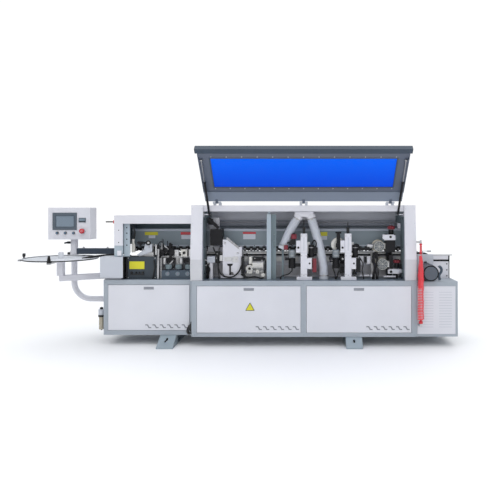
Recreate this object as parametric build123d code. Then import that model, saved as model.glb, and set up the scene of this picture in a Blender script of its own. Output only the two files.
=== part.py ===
"""Through-feed edge banding machine, as separate pieces in one frame.

Sizes are in millimetres. Every piece is drawn from the machine's datum: x from the post between the two
main doors, y from the front face of the main cabinet (positive to the rear), z from the floor. MACHINE_SHIFT
then moves all pieces so that the origin is the bottom centre of the machine's box.
"""
from build123d import *
import os
from math import atan2, cos, degrees, hypot, radians, sin, tan

MACHINE_SHIFT = Pos(659, -135, 0)

# Cabinets
SHEET = 3
BENCH_Z = 643
BENCH_THICK = 10
BASE_Z = 99
BACK_Y = 640
LEFT_X = (-1968, -1085)
LEFT_FRONT_Y = 83
MAIN_X = (-1085, 1103)
RIGHT_X = (1103, 1503)
RIGHT_FRONT_Y = 15
FRAME_DEPTH = 30
DOOR_GAP = 3
DOOR_DEPTH = 18
DOOR_Z = (138, 594)
DOORS = {
    "door_left": ((-1925, -1119), LEFT_FRONT_Y, 144),
    "door_middle": ((-1035, -23), 0, 138),
    "door_right": ((29, 1050), 0, 138),
}

# Feet
FOOT_X = (-1330, 491)
FOOT_HALF = 79
FOOT_FRONT_Y = (5, -78)
FOOT_REAR_Y = 690
ANCHOR_FRONT_Y = -40
ANCHOR_REAR_Y = 665
ANCHOR_R = 9

# Hood
CHEEK_LEFT_X = (-1097, -983)
CHEEK_RIGHT_X = (989, 1099)
HOOD_TOP_Z = 1378
HOOD_BACK_Y = 550
REAR_LOW_Z = 1020
CHEEK_DEPTH_Y = 250
CHEEK_PASS_Z = 1195
BEAM_FRONT_Y = 75

# Lid
LID_AXIS_Y = 47
LID_AXIS_Z = 1402
LID_OPEN_ANGLE = 134.3
LID_X = (-957, 963)
LID_LENGTH = 608
HINGE_X = (-845, 3, 851)
STRUT_X = (-925, 931)
STRUT_FOOT = (80, 1286)
STRUT_HEAD_U = 540
STRUT_HEAD_N = 15
STRUT_TUBE_LENGTH = 400

# Conveyor
BED_X = (-1700, 1085)
BED_Y = (336, 520)
BED_TOP_Z = 870
CHAIN_Y = (350, 410)
CHAIN_TOP_Z = 892
CHAIN_THICK = 20
SPROCKET_R = 80
SPROCKET_Z = CHAIN_TOP_Z - CHAIN_THICK - SPROCKET_R
IDLER_X = -1640
DRIVE_X = 1234
BEAM_X = (-1766, 1060)
BEAM_Y = (345, 430)
BEAM_Z = (943, 1136)
ROLLER_R = 19
ROLLER_PITCH = 66
GUIDE_ROD_X = (-1040, 1044)
GUIDE_ROD_Y = 280
GUIDE_ROD_R = 14
RUNNING_GAP = 0.05

# Tape disc, mast and control box
DISC_X = -2408
DISC_Y = 128
DISC_R = 350
DISC_Z = 843
PIN_X = -2776
FRONT_PIN = (-2352, -244)
MAST_X = -2446
MAST_Y = 530
MAST_R = 30
MAST_LOW_Z = 382
MAST_BEND_R = 180
BOX_X = (-2689, -2246)
BOX_Y = (450, 630)
BOX_Z = (1019, 1355)

# Trimming and buffing units
FINE_TRIM_X = (6, 441)
FINE_KNOB_TOP = (1229, 1208)
BUFF_UPPER = (756, 967)
BUFF_LOWER = (788, 791)
MOTOR_AXIS = (1234, 717)
AIR_HOSE_X = 1130
AIR_HOSE_Y = -44
AIR_HOSE_R = 32
HOSE_R = 46
DUCT_X = 2
DUCT_Z = 1290
DUCT_R = 60

# Support rail, main switch and operator box
SUPPORT_ARM_X = (-900, 150, 980)
SWITCH_Y = 150
SWITCH_Z = 1212
BUTTON_X = (-2593, -2507, -2420)
BUTTON_Z = 1087
STOP_X = -2324
STOP_Z = 1108
SCREEN_X = (-2641, -2386)
SCREEN_Z = (1119, 1301)

# Routes of the two dust hoses and of the clipped cables
DUST_LEFT = [
    (-66, 150, 1236), (-92, 150, 1196), (-126, 149, 1136), (-155, 149, 1076), (-178, 150, 1020),
    (-191, 150, 984),
]
DUST_RIGHT = [
    (84, 150, 1236), (102, 149, 1178), (130, 149, 1082), (158, 150, 984), (179, 146, 884), (194, 148, 800),
    (203, 150, 745), (203, 150, 687),
]
CABLE_R = 6
CABLE_ROUTES = [
    [(-112, 118, 755), (-112, 118, 730), (-140, 106, 696), (-190, 104, 684), (-226, 116, 668),
     (-226, 116, BENCH_Z)],
    [(700, 120, 875), (712, 112, 800), (702, 110, 720), (706, 118, 668), (706, 118, BENCH_Z)],
    [(728, 120, 860), (730, 108, 790), (744, 106, 715), (740, 116, 668), (740, 116, BENCH_Z)],
    [(-832, 130, 960), (-852, 122, 860), (-845, 120, 740), (-836, 122, 672), (-836, 122, BENCH_Z)],
]


def block(x, y, z):
    """A box between two x, two y and two z values."""
    centre = Pos((x[0] + x[1]) / 2, (y[0] + y[1]) / 2, (z[0] + z[1]) / 2)
    return centre * Box(x[1] - x[0], y[1] - y[0], z[1] - z[0])


def rod_x(x, y, z, radius):
    return Pos((x[0] + x[1]) / 2, y, z) * Rot(0, 90, 0) * Cylinder(radius, x[1] - x[0])


def rod_y(x, y, z, radius):
    return Pos(x, (y[0] + y[1]) / 2, z) * Rot(90, 0, 0) * Cylinder(radius, y[1] - y[0])


def rod_z(x, y, z, radius):
    return Pos(x, y, (z[0] + z[1]) / 2) * Cylinder(radius, z[1] - z[0])


def rod_between(start, end, radius):
    """A rod between two (x, y, z) points."""
    run = Vector(*end) - Vector(*start)
    return extrude(Plane(origin=start, z_dir=run) * Circle(radius), amount=run.length)


def past_end(end, before, distance):
    """The point past a route's end, on the line from the point before it."""
    run = Vector(*end) - Vector(*before)
    return tuple(Vector(*end) + run.normalized() * distance)


def prism_x(points, x):
    """A prism along x whose outline is a list of (y, z) points."""
    face = Plane.YZ.offset(x[0]) * Polygon(*points, align=None)
    return extrude(face, amount=x[1] - x[0], dir=(1, 0, 0))


def prism_y(points, y):
    """A prism along y whose outline is a list of (x, z) points."""
    face = Plane.XZ.offset(-y[0]) * Polygon(*points, align=None)
    return extrude(face, amount=y[1] - y[0], dir=(0, 1, 0))


def hollow_box(x, y, z, wall, open_side):
    """A thin-walled box that is open on one side, named such as "-z"."""
    inner = {"x": [x[0] + wall, x[1] - wall], "y": [y[0] + wall, y[1] - wall]}
    inner["z"] = [z[0] + wall, z[1] - wall]
    end = 0 if open_side[0] == "-" else 1
    inner[open_side[1]][end] += (2 * end - 1) * 2 * wall
    return block(x, y, z) - block(inner["x"], inner["y"], inner["z"])


def bar_between(start, end, width, height):
    """A flat bar in a horizontal plane between two (x, y, z) points."""
    length = hypot(end[0] - start[0], end[1] - start[1])
    turn = degrees(atan2(end[1] - start[1], end[0] - start[0]))
    middle = [(a + b) / 2 for a, b in zip(start, end)]
    return Pos(*middle) * Rot(0, 0, turn) * Box(length, width, height)


def tube_path(points):
    """Straight runs joined by arcs, each as large as its two runs allow."""
    corners = [Vector(*p) for p in points]
    radii = []
    for before, corner, after in zip(corners, corners[1:], corners[2:]):
        run_in = corner - before
        run_out = after - corner
        turn = radians(run_in.get_angle(run_out))
        radii.append(0.45 * min(run_in.length, run_out.length) / tan(turn / 2))
    print("    arc radii", [round(r) for r in radii])
    return FilletPolyline(*points, radius=radii)


def tube(points, radius):
    """A round tube or cable, swept along its route."""
    path = tube_path(points)
    ring = Plane(origin=path @ 0, z_dir=path % 0) * Circle(radius)
    return sweep(ring, path=path)


def write(name, *pieces):
    """Writes one node. Every piece in it stays a separate solid."""
    solids = []
    for piece in pieces:
        solids.extend((MACHINE_SHIFT * piece).solids())
    export_step(Compound(children=solids), os.path.join("parts", name + ".step"))


def front_frame(x, y, z, posts, rails):
    """The front of a cabinet: upright posts between a bottom and a top rail."""
    depth = (y, y + FRAME_DEPTH)
    pieces = [block(x, depth, (z[0], rails[0])), block(x, depth, (rails[1], z[1]))]
    for post in posts:
        pieces.append(block(post, depth, rails))
    return pieces


def cabinet_walls(x, y, z, back_top):
    """Floor, two sides and back of a cabinet, behind its front frame."""
    inner_y = (y + FRAME_DEPTH, BACK_Y - SHEET)
    return [
        block(x, inner_y, (z[0], z[0] + SHEET)),
        block((x[0], x[0] + SHEET), inner_y, (z[0] + SHEET, z[1])),
        block((x[1] - SHEET, x[1]), inner_y, (z[0] + SHEET, z[1])),
        block(x, (BACK_Y - SHEET, BACK_Y), (z[0], back_top)),
    ]


def base_frame():
    """Three joined cabinets with open fronts, under one bench plate each."""
    top = BENCH_Z - BENCH_THICK
    posts = [(LEFT_X[0], -1925), (-1119, LEFT_X[1])]
    left = front_frame(LEFT_X, LEFT_FRONT_Y, (BASE_Z, top), posts, (144, 594))
    left += cabinet_walls(LEFT_X, LEFT_FRONT_Y, (BASE_Z, top), top)
    left.append(block(LEFT_X, (LEFT_FRONT_Y, BACK_Y), (top, BENCH_Z)))
    posts = [(MAIN_X[0], -1035), (-23, 29), (1050, MAIN_X[1])]
    main = front_frame(MAIN_X, 0, (BASE_Z, top), posts, DOOR_Z)
    main += cabinet_walls(MAIN_X, 0, (BASE_Z, top), 555)
    main.append(block(MAIN_X, (0, BACK_Y), (top, BENCH_Z)))
    panel_x = (RIGHT_X[0] + 4, 1481)
    right = front_frame(RIGHT_X, RIGHT_FRONT_Y, (BASE_Z, 627), [(1481, RIGHT_X[1])], (124, 589))
    right += cabinet_walls(RIGHT_X, RIGHT_FRONT_Y, (BASE_Z, 627), 627)
    right.append(block(RIGHT_X, (RIGHT_FRONT_Y, BACK_Y), (627, 635)))
    right.append(block((RIGHT_X[0], panel_x[0]), (RIGHT_FRONT_Y, RIGHT_FRONT_Y + FRAME_DEPTH), (124, 589)))
    write("base_frame", *left, *main, *right, *support_guides())


def support_guides():
    """Three hanging channels in which the pull-out arms slide."""
    pieces = []
    for x in SUPPORT_ARM_X:
        pieces.append(block((x - 28, x + 28), (250, 600), (562, 568)))
        for side in (-1, 1):
            edge = sorted((x + side * 22, x + side * 28))
            pieces.append(block(edge, (250, 600), (568, BENCH_Z - BENCH_THICK)))
    return pieces


def support_rail():
    """Panel support at the rear: three arms, three legs, a rail and its rollers."""
    pieces = []
    for x in SUPPORT_ARM_X:
        pieces.append(block((x - 20, x + 20), (255, 660), (570, 610)))
        pieces.append(block((x - 20, x + 20), (660, 700), (570, 850)))
    pieces.append(block((-1250, 1250), (660, 700), (850, 880)))
    for index in range(26):
        x = -1225 + 98 * index
        pieces.append(block((x - 3, x + 3), (676, 684), (880, 890)))
        pieces.append(rod_y(x, (670, 676), 884, 8.5) + rod_y(x, (684, 690), 884, 8.5))
    write("support_rail", *pieces)


def door(name):
    """A lift-off tray panel with a pull slot, a finger cup and a row of vents."""
    (x0, x1), front, z_low = DOORS[name]
    x = (x0 + DOOR_GAP, x1 - DOOR_GAP)
    z = (z_low + DOOR_GAP, DOOR_Z[1] - DOOR_GAP)
    y = (front - 2, front - 2 + DOOR_DEPTH)
    panel = hollow_box(x, y, z, 2, "+y")
    middle = (x[0] + x[1]) / 2
    slot = block((middle - 46, middle + 46), (y[0] - 1, y[0] + 3), (551, 569))
    panel -= slot
    for index in range(6):
        left = x[1] - 436 + 72 * index
        panel -= vent_outline(left, 166, (y[0] - 1, y[0] + 3))
    cup = hollow_box((middle - 50, middle + 50), (y[0] + 2, y[0] + 14), (547, 573), 1.5, "-y")
    write(name, panel, cup)


def vent_outline(left, low, y):
    """One Z-shaped vent, 60 wide and 38 high."""
    points = [
        (left, low + 27), (left, low + 38), (left + 26, low + 38), (left + 42, low + 11),
        (left + 60, low + 11), (left + 60, low), (left + 34, low), (left + 18, low + 27),
    ]
    return prism_y(points, y)


def side_panel():
    """Screwed panel of the right cabinet with two columns of fine slits."""
    x = (RIGHT_X[0] + 5, 1480)
    y = (RIGHT_FRONT_Y - 2, RIGHT_FRONT_Y + 8)
    panel = hollow_box(x, y, (125, 588), 2, "+y")
    for column in (1140, 1320):
        for row in range(14):
            z = 190 + 26 * row
            panel -= block((column, column + 126), (y[0] - 1, y[0] + 3), (z, z + 5))
    screws = []
    for sx in (x[0] + 16, x[1] - 16):
        for sz in (141, 572):
            screws.append(rod_y(sx, (y[0] - 3, y[0]), sz, 6))
    write("right_side_panel", panel, *screws)


def floor_feet():
    """Two cross feet: sole plate with anchor holes, web beam and a splayed front with gussets."""
    pieces = []
    for x in FOOT_X:
        span = (x - FOOT_HALF, x + FOOT_HALF)
        sole = block(span, (FOOT_FRONT_Y[1], FOOT_REAR_Y), (0, 10))
        for y in (ANCHOR_FRONT_Y, ANCHOR_REAR_Y):
            sole -= rod_z(x, y, (-1, 11), ANCHOR_R)
        front = 83 if x < MAIN_X[0] else 0
        beam = block((x - 45, x + 45), (front + 20, BACK_Y - 15), (10, BASE_Z))
        beam -= block((x - 39, x + 39), (front + 10, BACK_Y), (10, BASE_Z - 6))
        pieces += [sole, beam]
        slope = [(FOOT_FRONT_Y[1], 10), (FOOT_FRONT_Y[1] + 10, 10), (front + 20, BASE_Z), (front + 8, BASE_Z)]
        plate = prism_x(slope, (span[0] + 8, span[1] - 8))
        plate -= rod_y(x, (-100, 140), 66, 11)
        pieces.append(plate)
        gusset = [(FOOT_FRONT_Y[1], 10), (front + 60, 10), (front + 60, BASE_Z), (front + 8, BASE_Z)]
        pieces.append(prism_x(gusset, (span[0], span[0] + 8)))
        pieces.append(prism_x(gusset, (span[1] - 8, span[1])))
    write("floor_feet", *pieces)


def cheek(x, wall=3):
    """One end of the hood: a leaning box in front, a smaller box over the panel path and sheets behind it."""
    outline = [(8, BENCH_Z), (-5, 735), (-5, 850), (50, HOOD_TOP_Z), (CHEEK_DEPTH_Y, HOOD_TOP_Z),
               (CHEEK_DEPTH_Y, BENCH_Z)]
    inside = [(8 + wall, BENCH_Z - wall), (-5 + wall, 735), (-5 + wall, 850), (50 + wall, HOOD_TOP_Z - wall),
              (CHEEK_DEPTH_Y - wall, HOOD_TOP_Z - wall), (CHEEK_DEPTH_Y - wall, BENCH_Z - wall)]
    front = prism_x(outline, x) - prism_x(inside, (x[0] + wall, x[1] - wall))
    rear = hollow_box(x, (CHEEK_DEPTH_Y, HOOD_BACK_Y), (CHEEK_PASS_Z, HOOD_TOP_Z), wall, "+y")
    inner_x = (x[1] - wall, x[1]) if x[0] < 0 else (x[0], x[0] + wall)
    side = block(inner_x, (440, HOOD_BACK_Y), (950, CHEEK_PASS_Z))
    back = block(x, (HOOD_BACK_Y - wall, HOOD_BACK_Y), (950, CHEEK_PASS_Z))
    return [front, rear, side + back]


def hood_cheeks():
    """Both hood ends, with the pin of a gas strut on each inner wall."""
    pieces = cheek(CHEEK_LEFT_X) + cheek(CHEEK_RIGHT_X)
    pieces.append(rod_x((CHEEK_LEFT_X[1], STRUT_X[0] + 9), STRUT_FOOT[0], STRUT_FOOT[1], 5))
    pieces.append(rod_x((STRUT_X[1] - 9, CHEEK_RIGHT_X[0]), STRUT_FOOT[0], STRUT_FOOT[1], 5))
    write("hood_cheeks", *pieces)


def hood_roof():
    """Front beam, roof sheet and rear panel between the two hood ends."""
    x = (CHEEK_LEFT_X[1], CHEEK_RIGHT_X[0])
    y = (BEAM_FRONT_Y, HOOD_BACK_Y)
    rear = block(x, (y[1] - SHEET, y[1]), (REAR_LOW_Z, 1373))
    rear -= rod_y(DUCT_X, (y[1] - 5, y[1] + 1), DUCT_Z, DUCT_R - 1)
    write(
        "hood_roof",
        block(x, (y[0], y[0] + SHEET), (1316, 1373)),
        block(x, (y[0] + SHEET, y[0] + 50), (1316, 1319)),
        block(x, y, (1373, 1376)),
        rear,
        block(x, (y[1] - 40, y[1] - SHEET), (REAR_LOW_Z, REAR_LOW_Z + 3)),
    )


def middle_post():
    """Post between the pre-milling bay and the trimming bay, with a drilled flange and a top bracket."""
    post = hollow_box((-362, -319), (100, 150), (BENCH_Z, 1288), 3, "+y")
    flange = block((-319, -270), (130, 134), (BENCH_Z, 1288))
    for z in (1087, 1023, 967):
        flange -= rod_y(-290, (129, 135), z, 7)
    bracket = block((-352, -329), (126, 148), (1288, 1373))
    write("middle_post", post, flange, bracket)


def infeed_guard():
    """Low guard over the glue section: post, beam, roof, side and rear sheets."""
    x = (-1865, CHEEK_LEFT_X[0])
    post = hollow_box((-1865, -1780), (83, 103), (979, 1195), 3, "+y")
    beam = hollow_box((x[0], x[1]), (83, 103), (1195, 1276), 3, "+y")
    lower = block((-1865, -1780), (90, 94), (869, 979))
    strip = block((-1780, -1720), (120, 123), (869, 1195))
    for z in (1155, 1100, 1040, 981):
        strip -= rod_y(-1752, (119, 124), z, 7)
    end_wall = block((-1783, -1780), (103, HOOD_BACK_Y - SHEET), (979, 1273))
    end_wall += block((-1783, -1780), (103, 320), (892, 979))
    roof = block(x, (103, HOOD_BACK_Y), (1273, 1276))
    rear = block(x, (HOOD_BACK_Y - SHEET, HOOD_BACK_Y), (REAR_LOW_Z, 1273))
    side = block((x[0], x[0] + 3), (103, HOOD_BACK_Y - SHEET), (979, 1273))
    switch_base = rod_x((x[0] - 8, x[0]), SWITCH_Y, SWITCH_Z, 30)
    write("infeed_guard", post, beam, lower, strip, end_wall, roof, rear, side, switch_base)


def main_switch():
    """Turning handle of the main switch on the left side of the guard."""
    handle = rod_x((-1893, -1874), SWITCH_Y, SWITCH_Z, 17)
    handle += block((-1965, -1893), (SWITCH_Y - 17, SWITCH_Y + 17), (SWITCH_Z - 6, SWITCH_Z + 6))
    write("main_switch_handle", handle)


def conveyor_bed():
    """Fabricated bed with open ends, and the two rods that guide the pressure beam."""
    pieces = [
        block(BED_X, (BED_Y[0], BED_Y[0] + 10), (BENCH_Z, BED_TOP_Z)),
        block(BED_X, (BED_Y[1] - 10, BED_Y[1]), (BENCH_Z, BED_TOP_Z)),
        block((-1540, BED_X[1]), (BED_Y[0] + 10, BED_Y[1] - 10), (BED_TOP_Z - 10, BED_TOP_Z)),
        block(BED_X, (BED_Y[0] + 10, BED_Y[1] - 10), (BENCH_Z, BENCH_Z + 8)),
        block(BED_X, (BED_Y[0] - 8, BED_Y[0]), (658, 672)),
    ]
    for x in GUIDE_ROD_X:
        pieces.append(block((x - 30, x + 30), (GUIDE_ROD_Y - 26, GUIDE_ROD_Y + 26), (BENCH_Z, 668)))
        pieces.append(rod_z(x, GUIDE_ROD_Y, (668, CHEEK_PASS_Z), GUIDE_ROD_R))
    write("conveyor_bed", *pieces)


def racetrack(radius, y):
    """Loop outline round both sprockets."""
    straight = block((IDLER_X, DRIVE_X), y, (SPROCKET_Z - radius, SPROCKET_Z + radius))
    return straight + rod_y(IDLER_X, y, SPROCKET_Z, radius) + rod_y(DRIVE_X, y, SPROCKET_Z, radius)


def conveyor_chain():
    """The feed chain as one closed band."""
    inner_r = SPROCKET_R + 0.4
    band = racetrack(SPROCKET_R + CHAIN_THICK, CHAIN_Y) - racetrack(inner_r, (CHAIN_Y[0] - 1, CHAIN_Y[1] + 1))
    write("conveyor_chain", band)


def sprocket(x, y_shaft):
    """Chain wheel on its shaft."""
    return rod_y(x, (355, 405), SPROCKET_Z, SPROCKET_R) + rod_y(x, y_shaft, SPROCKET_Z, 15)


def sprockets():
    write("drive_sprocket", sprocket(DRIVE_X, (305, 430)))
    write("idler_sprocket", sprocket(IDLER_X, (347, 509)))


def pressure_beam():
    """Hollow beam with two arms that slide on the guide rods."""
    wall = 5
    tube_y = (BEAM_Y[0] + wall, BEAM_Y[1] - wall)
    tube_z = (BEAM_Z[0] + wall, BEAM_Z[1] - wall)
    beam = block(BEAM_X, BEAM_Y, BEAM_Z) - block((BEAM_X[0] - 1, BEAM_X[1] + 1), tube_y, tube_z)
    arms = []
    for x in GUIDE_ROD_X:
        half = 14 if x > 0 else 28
        arm = block((x - half - 14, x + half), (GUIDE_ROD_Y - 24, BEAM_Y[0]), (1010, 1080))
        arm -= rod_z(x, GUIDE_ROD_Y, (1000, 1090), GUIDE_ROD_R + RUNNING_GAP)
        arms.append(arm)
    write("pressure_beam", beam, *arms)


def pressure_rollers():
    """Two staggered rows of pressing rollers between two side strips under the beam."""
    pieces = []
    for y in (346, 406):
        pieces.append(block(BEAM_X, (y, y + 4), (915, BEAM_Z[0])))
    count = int((BEAM_X[1] - BEAM_X[0] - 80) / ROLLER_PITCH) + 1
    for index in range(count):
        x = BEAM_X[0] + 40 + ROLLER_PITCH * index
        pieces.append(rod_y(x, (350, 377), 905 + ROLLER_R, ROLLER_R))
        if index < count - 1:
            pieces.append(rod_y(x + ROLLER_PITCH / 2, (379, 406), 905 + ROLLER_R, ROLLER_R))
    write("pressure_rollers", *pieces)


def guide_bars():
    """Guide bars ahead of the glue section and behind the last unit, on their legs."""
    write(
        "guide_bars",
        block((-2353, -1900), (362, 420), (872, 931)),
        block((-1962, -1915), (366, 416), (BENCH_Z, 872)),
        block((1208, 1516), (262, 296), (866, 876)),
        block((1208, 1478), (266, 270), (825, 866)),
        block((1208, 1490), (262, 296), (808, 825)) + block((1478, 1490), (262, 296), (825, 866)),
        block((1320, 1482), (266, 270), (635, 808)),
        block((1482, 1490), (264, 290), (635, 808)),
    )


def glue_unit():
    """Left cover, glue tank cover, tank, spindle post and plates of the glue section."""
    scraper = [(-1670, 880), (-1640, 864), (-1515, 915), (-1515, 985), (-1580, 998), (-1600, 930)]
    pieces = [
        hollow_box((-1995, -1770), (60, 320), (665, 869), 2, "-z"),
        block((-1960, -1800), (100, 320), (BENCH_Z, 665)),
        hollow_box((-1766, -1462), (150, 300), (BENCH_Z, 863), 2, "-z"),
        rod_z(-1437, 110, (BENCH_Z, 944), 14),
        block((-1640, -1500), (200, 290), (863, 905)),
        rod_z(-1560, 250, (905, 985), 38),
        block((-1440, -1125), (230, 262), (850, 866)),
        block((-1290, -1235), (238, 262), (BENCH_Z, 850)),
        block((-1228, -1166), (180, 260), (866, 932)),
        prism_y(scraper, (172, 196)),
    ]
    write("glue_unit", *pieces)


def glue_rollers():
    """Glue applicator roller and the large pressing roller."""
    write("glue_roller", rod_z(-1448, 286, (868, 948), 30) + rod_z(-1448, 286, (948, 990), 9))
    roller = rod_z(-1345, 276, (872, 950), 46) + rod_z(-1345, 276, (866.5, 985), 10)
    write("pressing_roller", roller)


def regulator_bank():
    """Three pressure regulators with gauges in a dark housing."""
    pieces = [block((-1404, -1110), (110, 200), (BENCH_Z, 732))]
    for x in (-1343, -1243, -1146):
        pieces.append(rod_z(x, 150, (732, 745), 20))
        pieces.append(rod_z(x, 150, (745, 785), 30))
        pieces.append(rod_y(x, (102, 110), 700, 20))
    write("regulator_bank", *pieces)


def tape_disc():
    """Turntable for the edging coil: disc, rim and hub."""
    disc = rod_z(DISC_X, DISC_Y, (DISC_Z, DISC_Z + 6), DISC_R)
    rim = rod_z(DISC_X, DISC_Y, (DISC_Z, DISC_Z + 14), DISC_R)
    rim -= rod_z(DISC_X, DISC_Y, (DISC_Z - 1, DISC_Z + 15), DISC_R - 5)
    hub = rod_z(DISC_X, DISC_Y, (DISC_Z + 6, DISC_Z + 62), 26)
    bore = rod_z(DISC_X, DISC_Y, (DISC_Z - 1, DISC_Z + 50), 12 + RUNNING_GAP)
    write("tape_disc", disc + rim + hub - bore)


def tape_arm():
    """Square-tube arm that carries the disc and its pins, with the end bracket and clamp screw."""
    post_half = 29
    post_x = (DISC_X - post_half, DISC_X + post_half)
    post = block(post_x, (DISC_Y - post_half, DISC_Y + post_half), (680, 836))
    spindle = rod_z(DISC_X, DISC_Y, (836, DISC_Z + 48), 12) + rod_z(DISC_X, DISC_Y, (836, DISC_Z - 1), 30)
    arm = bar_between((DISC_X - 15, DISC_Y - 6, 652), (-2040, 350, 652), 58, 56)
    bracket = block((-2042, LEFT_X[0]), (322, 400), (598, 700))
    arm -= bracket
    screw = rod_y(-2010, (290, 322), 614, 7) + rod_y(-2010, (266, 290), 614, 17)
    outrigger = block((-2800, DISC_X - post_half), (DISC_Y - 12, DISC_Y + 12), (824, 836))
    pin = rod_z(PIN_X, DISC_Y, (836, 862), 8) + rod_z(PIN_X, DISC_Y, (862, 895), 11)
    tip = block((-2823, -2800), (DISC_Y - 30, DISC_Y + 30), (822, 838))
    front_arm = bar_between((DISC_X, DISC_Y - post_half, 830), (FRONT_PIN[0], FRONT_PIN[1] - 16, 830), 26, 12)
    front_arm -= post
    front_pin = rod_z(FRONT_PIN[0], FRONT_PIN[1], (836, 850), 12)
    front_pin += Pos(FRONT_PIN[0], FRONT_PIN[1], 878) * Cone(18, 9, 56)
    write("tape_arm", post, spindle, arm, bracket, screw, outrigger, pin, tip, front_arm, front_pin)


def mast_tube():
    """Bent tube from the cabinet's side up into the sleeve, with its wall flange."""
    low = (LEFT_X[0] - 10, MAST_Y, MAST_LOW_Z)
    corner = (MAST_X, MAST_Y, MAST_LOW_Z)
    path = FilletPolyline(low, corner, (MAST_X, MAST_Y, 1010), radius=MAST_BEND_R)
    ring = Plane(origin=path @ 0, z_dir=path % 0) * (Circle(MAST_R) - Circle(MAST_R - 4))
    flange = rod_x((LEFT_X[0] - 10, LEFT_X[0]), MAST_Y, MAST_LOW_Z, 60)
    write("mast_tube", sweep(ring, path=path), flange)


def mast_sleeve():
    """Sliding sleeve with its clamp collar and screw boss."""
    sleeve = rod_z(MAST_X, MAST_Y, (842, BOX_Z[0] - 1), 36)
    sleeve += rod_z(MAST_X, MAST_Y, (842, 891), 42)
    sleeve += rod_x((MAST_X - 70, MAST_X), MAST_Y, 866, 14)
    sleeve += rod_x((MAST_X - 50, MAST_X), MAST_Y, 982, 12)
    sleeve -= rod_z(MAST_X, MAST_Y, (840, 1012), MAST_R + RUNNING_GAP)
    write("mast_sleeve", sleeve)
    lever = rod_x((MAST_X - 74, MAST_X - 51), MAST_Y, 982, 13)
    lever += block((MAST_X - 73, MAST_X - 61), (MAST_Y - 80, MAST_Y), (974, 990))
    write("mast_clamp_lever", lever)


def control_box():
    """Sheet-metal box with bores for the buttons, a back cover and a turning foot."""
    box = hollow_box(BOX_X, (BOX_Y[0], BOX_Y[1] - 8), BOX_Z, 3, "+y")
    for x in BUTTON_X:
        box -= rod_y(x, (BOX_Y[0] - 1, BOX_Y[0] + 4), BUTTON_Z, 11.3)
    box -= rod_y(STOP_X, (BOX_Y[0] - 1, BOX_Y[0] + 4), STOP_Z, 11.3)
    box -= block((SCREEN_X[0] + 20, SCREEN_X[1] - 20), (BOX_Y[0] - 1, BOX_Y[0] + 4),
                 (SCREEN_Z[0] + 20, SCREEN_Z[1] - 20))
    cover = block((BOX_X[0] + 10, BOX_X[1] - 10), (BOX_Y[1] - 8, BOX_Y[1]), (BOX_Z[0] + 10, BOX_Z[1] - 10))
    meter = block((-2366, -2291), (BOX_Y[0] - 6, BOX_Y[0]), (1199, 1246))
    write("control_box", box, cover, meter)


def control_screen():
    """Touch screen with its bezel, set into the front of the box."""
    bezel = block(SCREEN_X, (BOX_Y[0] - 7, BOX_Y[0]), SCREEN_Z)
    bezel += block((SCREEN_X[0] + 22, SCREEN_X[1] - 22), (BOX_Y[0], BOX_Y[0] + 30),
                   (SCREEN_Z[0] + 22, SCREEN_Z[1] - 22))
    pocket = block((-2603, -2416), (BOX_Y[0] - 8, BOX_Y[0] - 4), (1154, 1266))
    write("control_screen", bezel - pocket)


def push_buttons():
    """Three push buttons and the mushroom emergency stop."""
    for index, x in enumerate(BUTTON_X):
        cap = rod_y(x, (BOX_Y[0] - 14, BOX_Y[0] - 5), BUTTON_Z, 13)
        stem = rod_y(x, (BOX_Y[0] - 5, BOX_Y[0] + 20), BUTTON_Z, 11)
        write("push_button_" + str(index + 1), cap + stem)
    mushroom = rod_y(STOP_X, (BOX_Y[0] - 34, BOX_Y[0] - 16), STOP_Z, 26)
    mushroom += rod_y(STOP_X, (BOX_Y[0] - 16, BOX_Y[0] + 25), STOP_Z, 11)
    write("emergency_stop", mushroom)


def end_trim():
    """End trimming unit: inclined guide, cover, base plate, and the sliding saw head."""
    guide = [(-964, 1238), (-944, 1258), (-846, 1158), (-866, 1138)]
    cover = [(-804, 700), (-790, 684), (-738, 684), (-722, 712), (-702, 712), (-690, 684), (-646, 684),
             (-632, 705), (-632, 929), (-764, 1034), (-804, 1034)]
    write(
        "end_trim_unit",
        prism_y(guide, (190, 230)),
        prism_y(cover, (150, 156)),
        block((-824, -602), (150, 290), (651, 681)),
        block((-790, -646), (230, 290), (681, 900)),
        block((-640, -615), (156, 300), (681, 960)),
        block((-980, -640), (302, 326), (900, 950)),
        block((-800, -640), (156, 290), (900, 912)),
        block((-959, -879), (140, 230), (806, 867)),
        block((-935, -905), (150, 220), (BENCH_Z, 806)),
        block((-960, -860), (302, 326), (950, 1250)),
        block((-964, -910), (226, 302), (1180, 1240)),
    )
    head = block((-935, -810), (180, 280), (974, 1137))
    head += block((-900, -850), (280, 300), (1000, 1100))
    write("end_trim_head", head)
    blade = rod_x((-800, -796.5), 228, 1010, 62) + rod_x((-809.5, -785), 228, 1010, 12)
    write("end_trim_saw", blade)


def rough_trim():
    """Rough trimming unit: two motors, slides and a rear column."""
    write(
        "rough_trim_unit",
        block((-591, -376), (230, 300), (BENCH_Z, 690)),
        block((-560, -420), (262, 322), (690, 860)),
        rod_z(-520, 190, (780, 867), 34),
        block((-560, -480), (190, 262), (700, 770)),
        rod_x((-470, -380), 200, 800, 38),
        block((-470, -400), (200, 262), (700, 762)),
        rod_y(-536, (150, 190), 735, 32),
        block((-430, -386), (170, 262), (820, 858)),
    )


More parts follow.
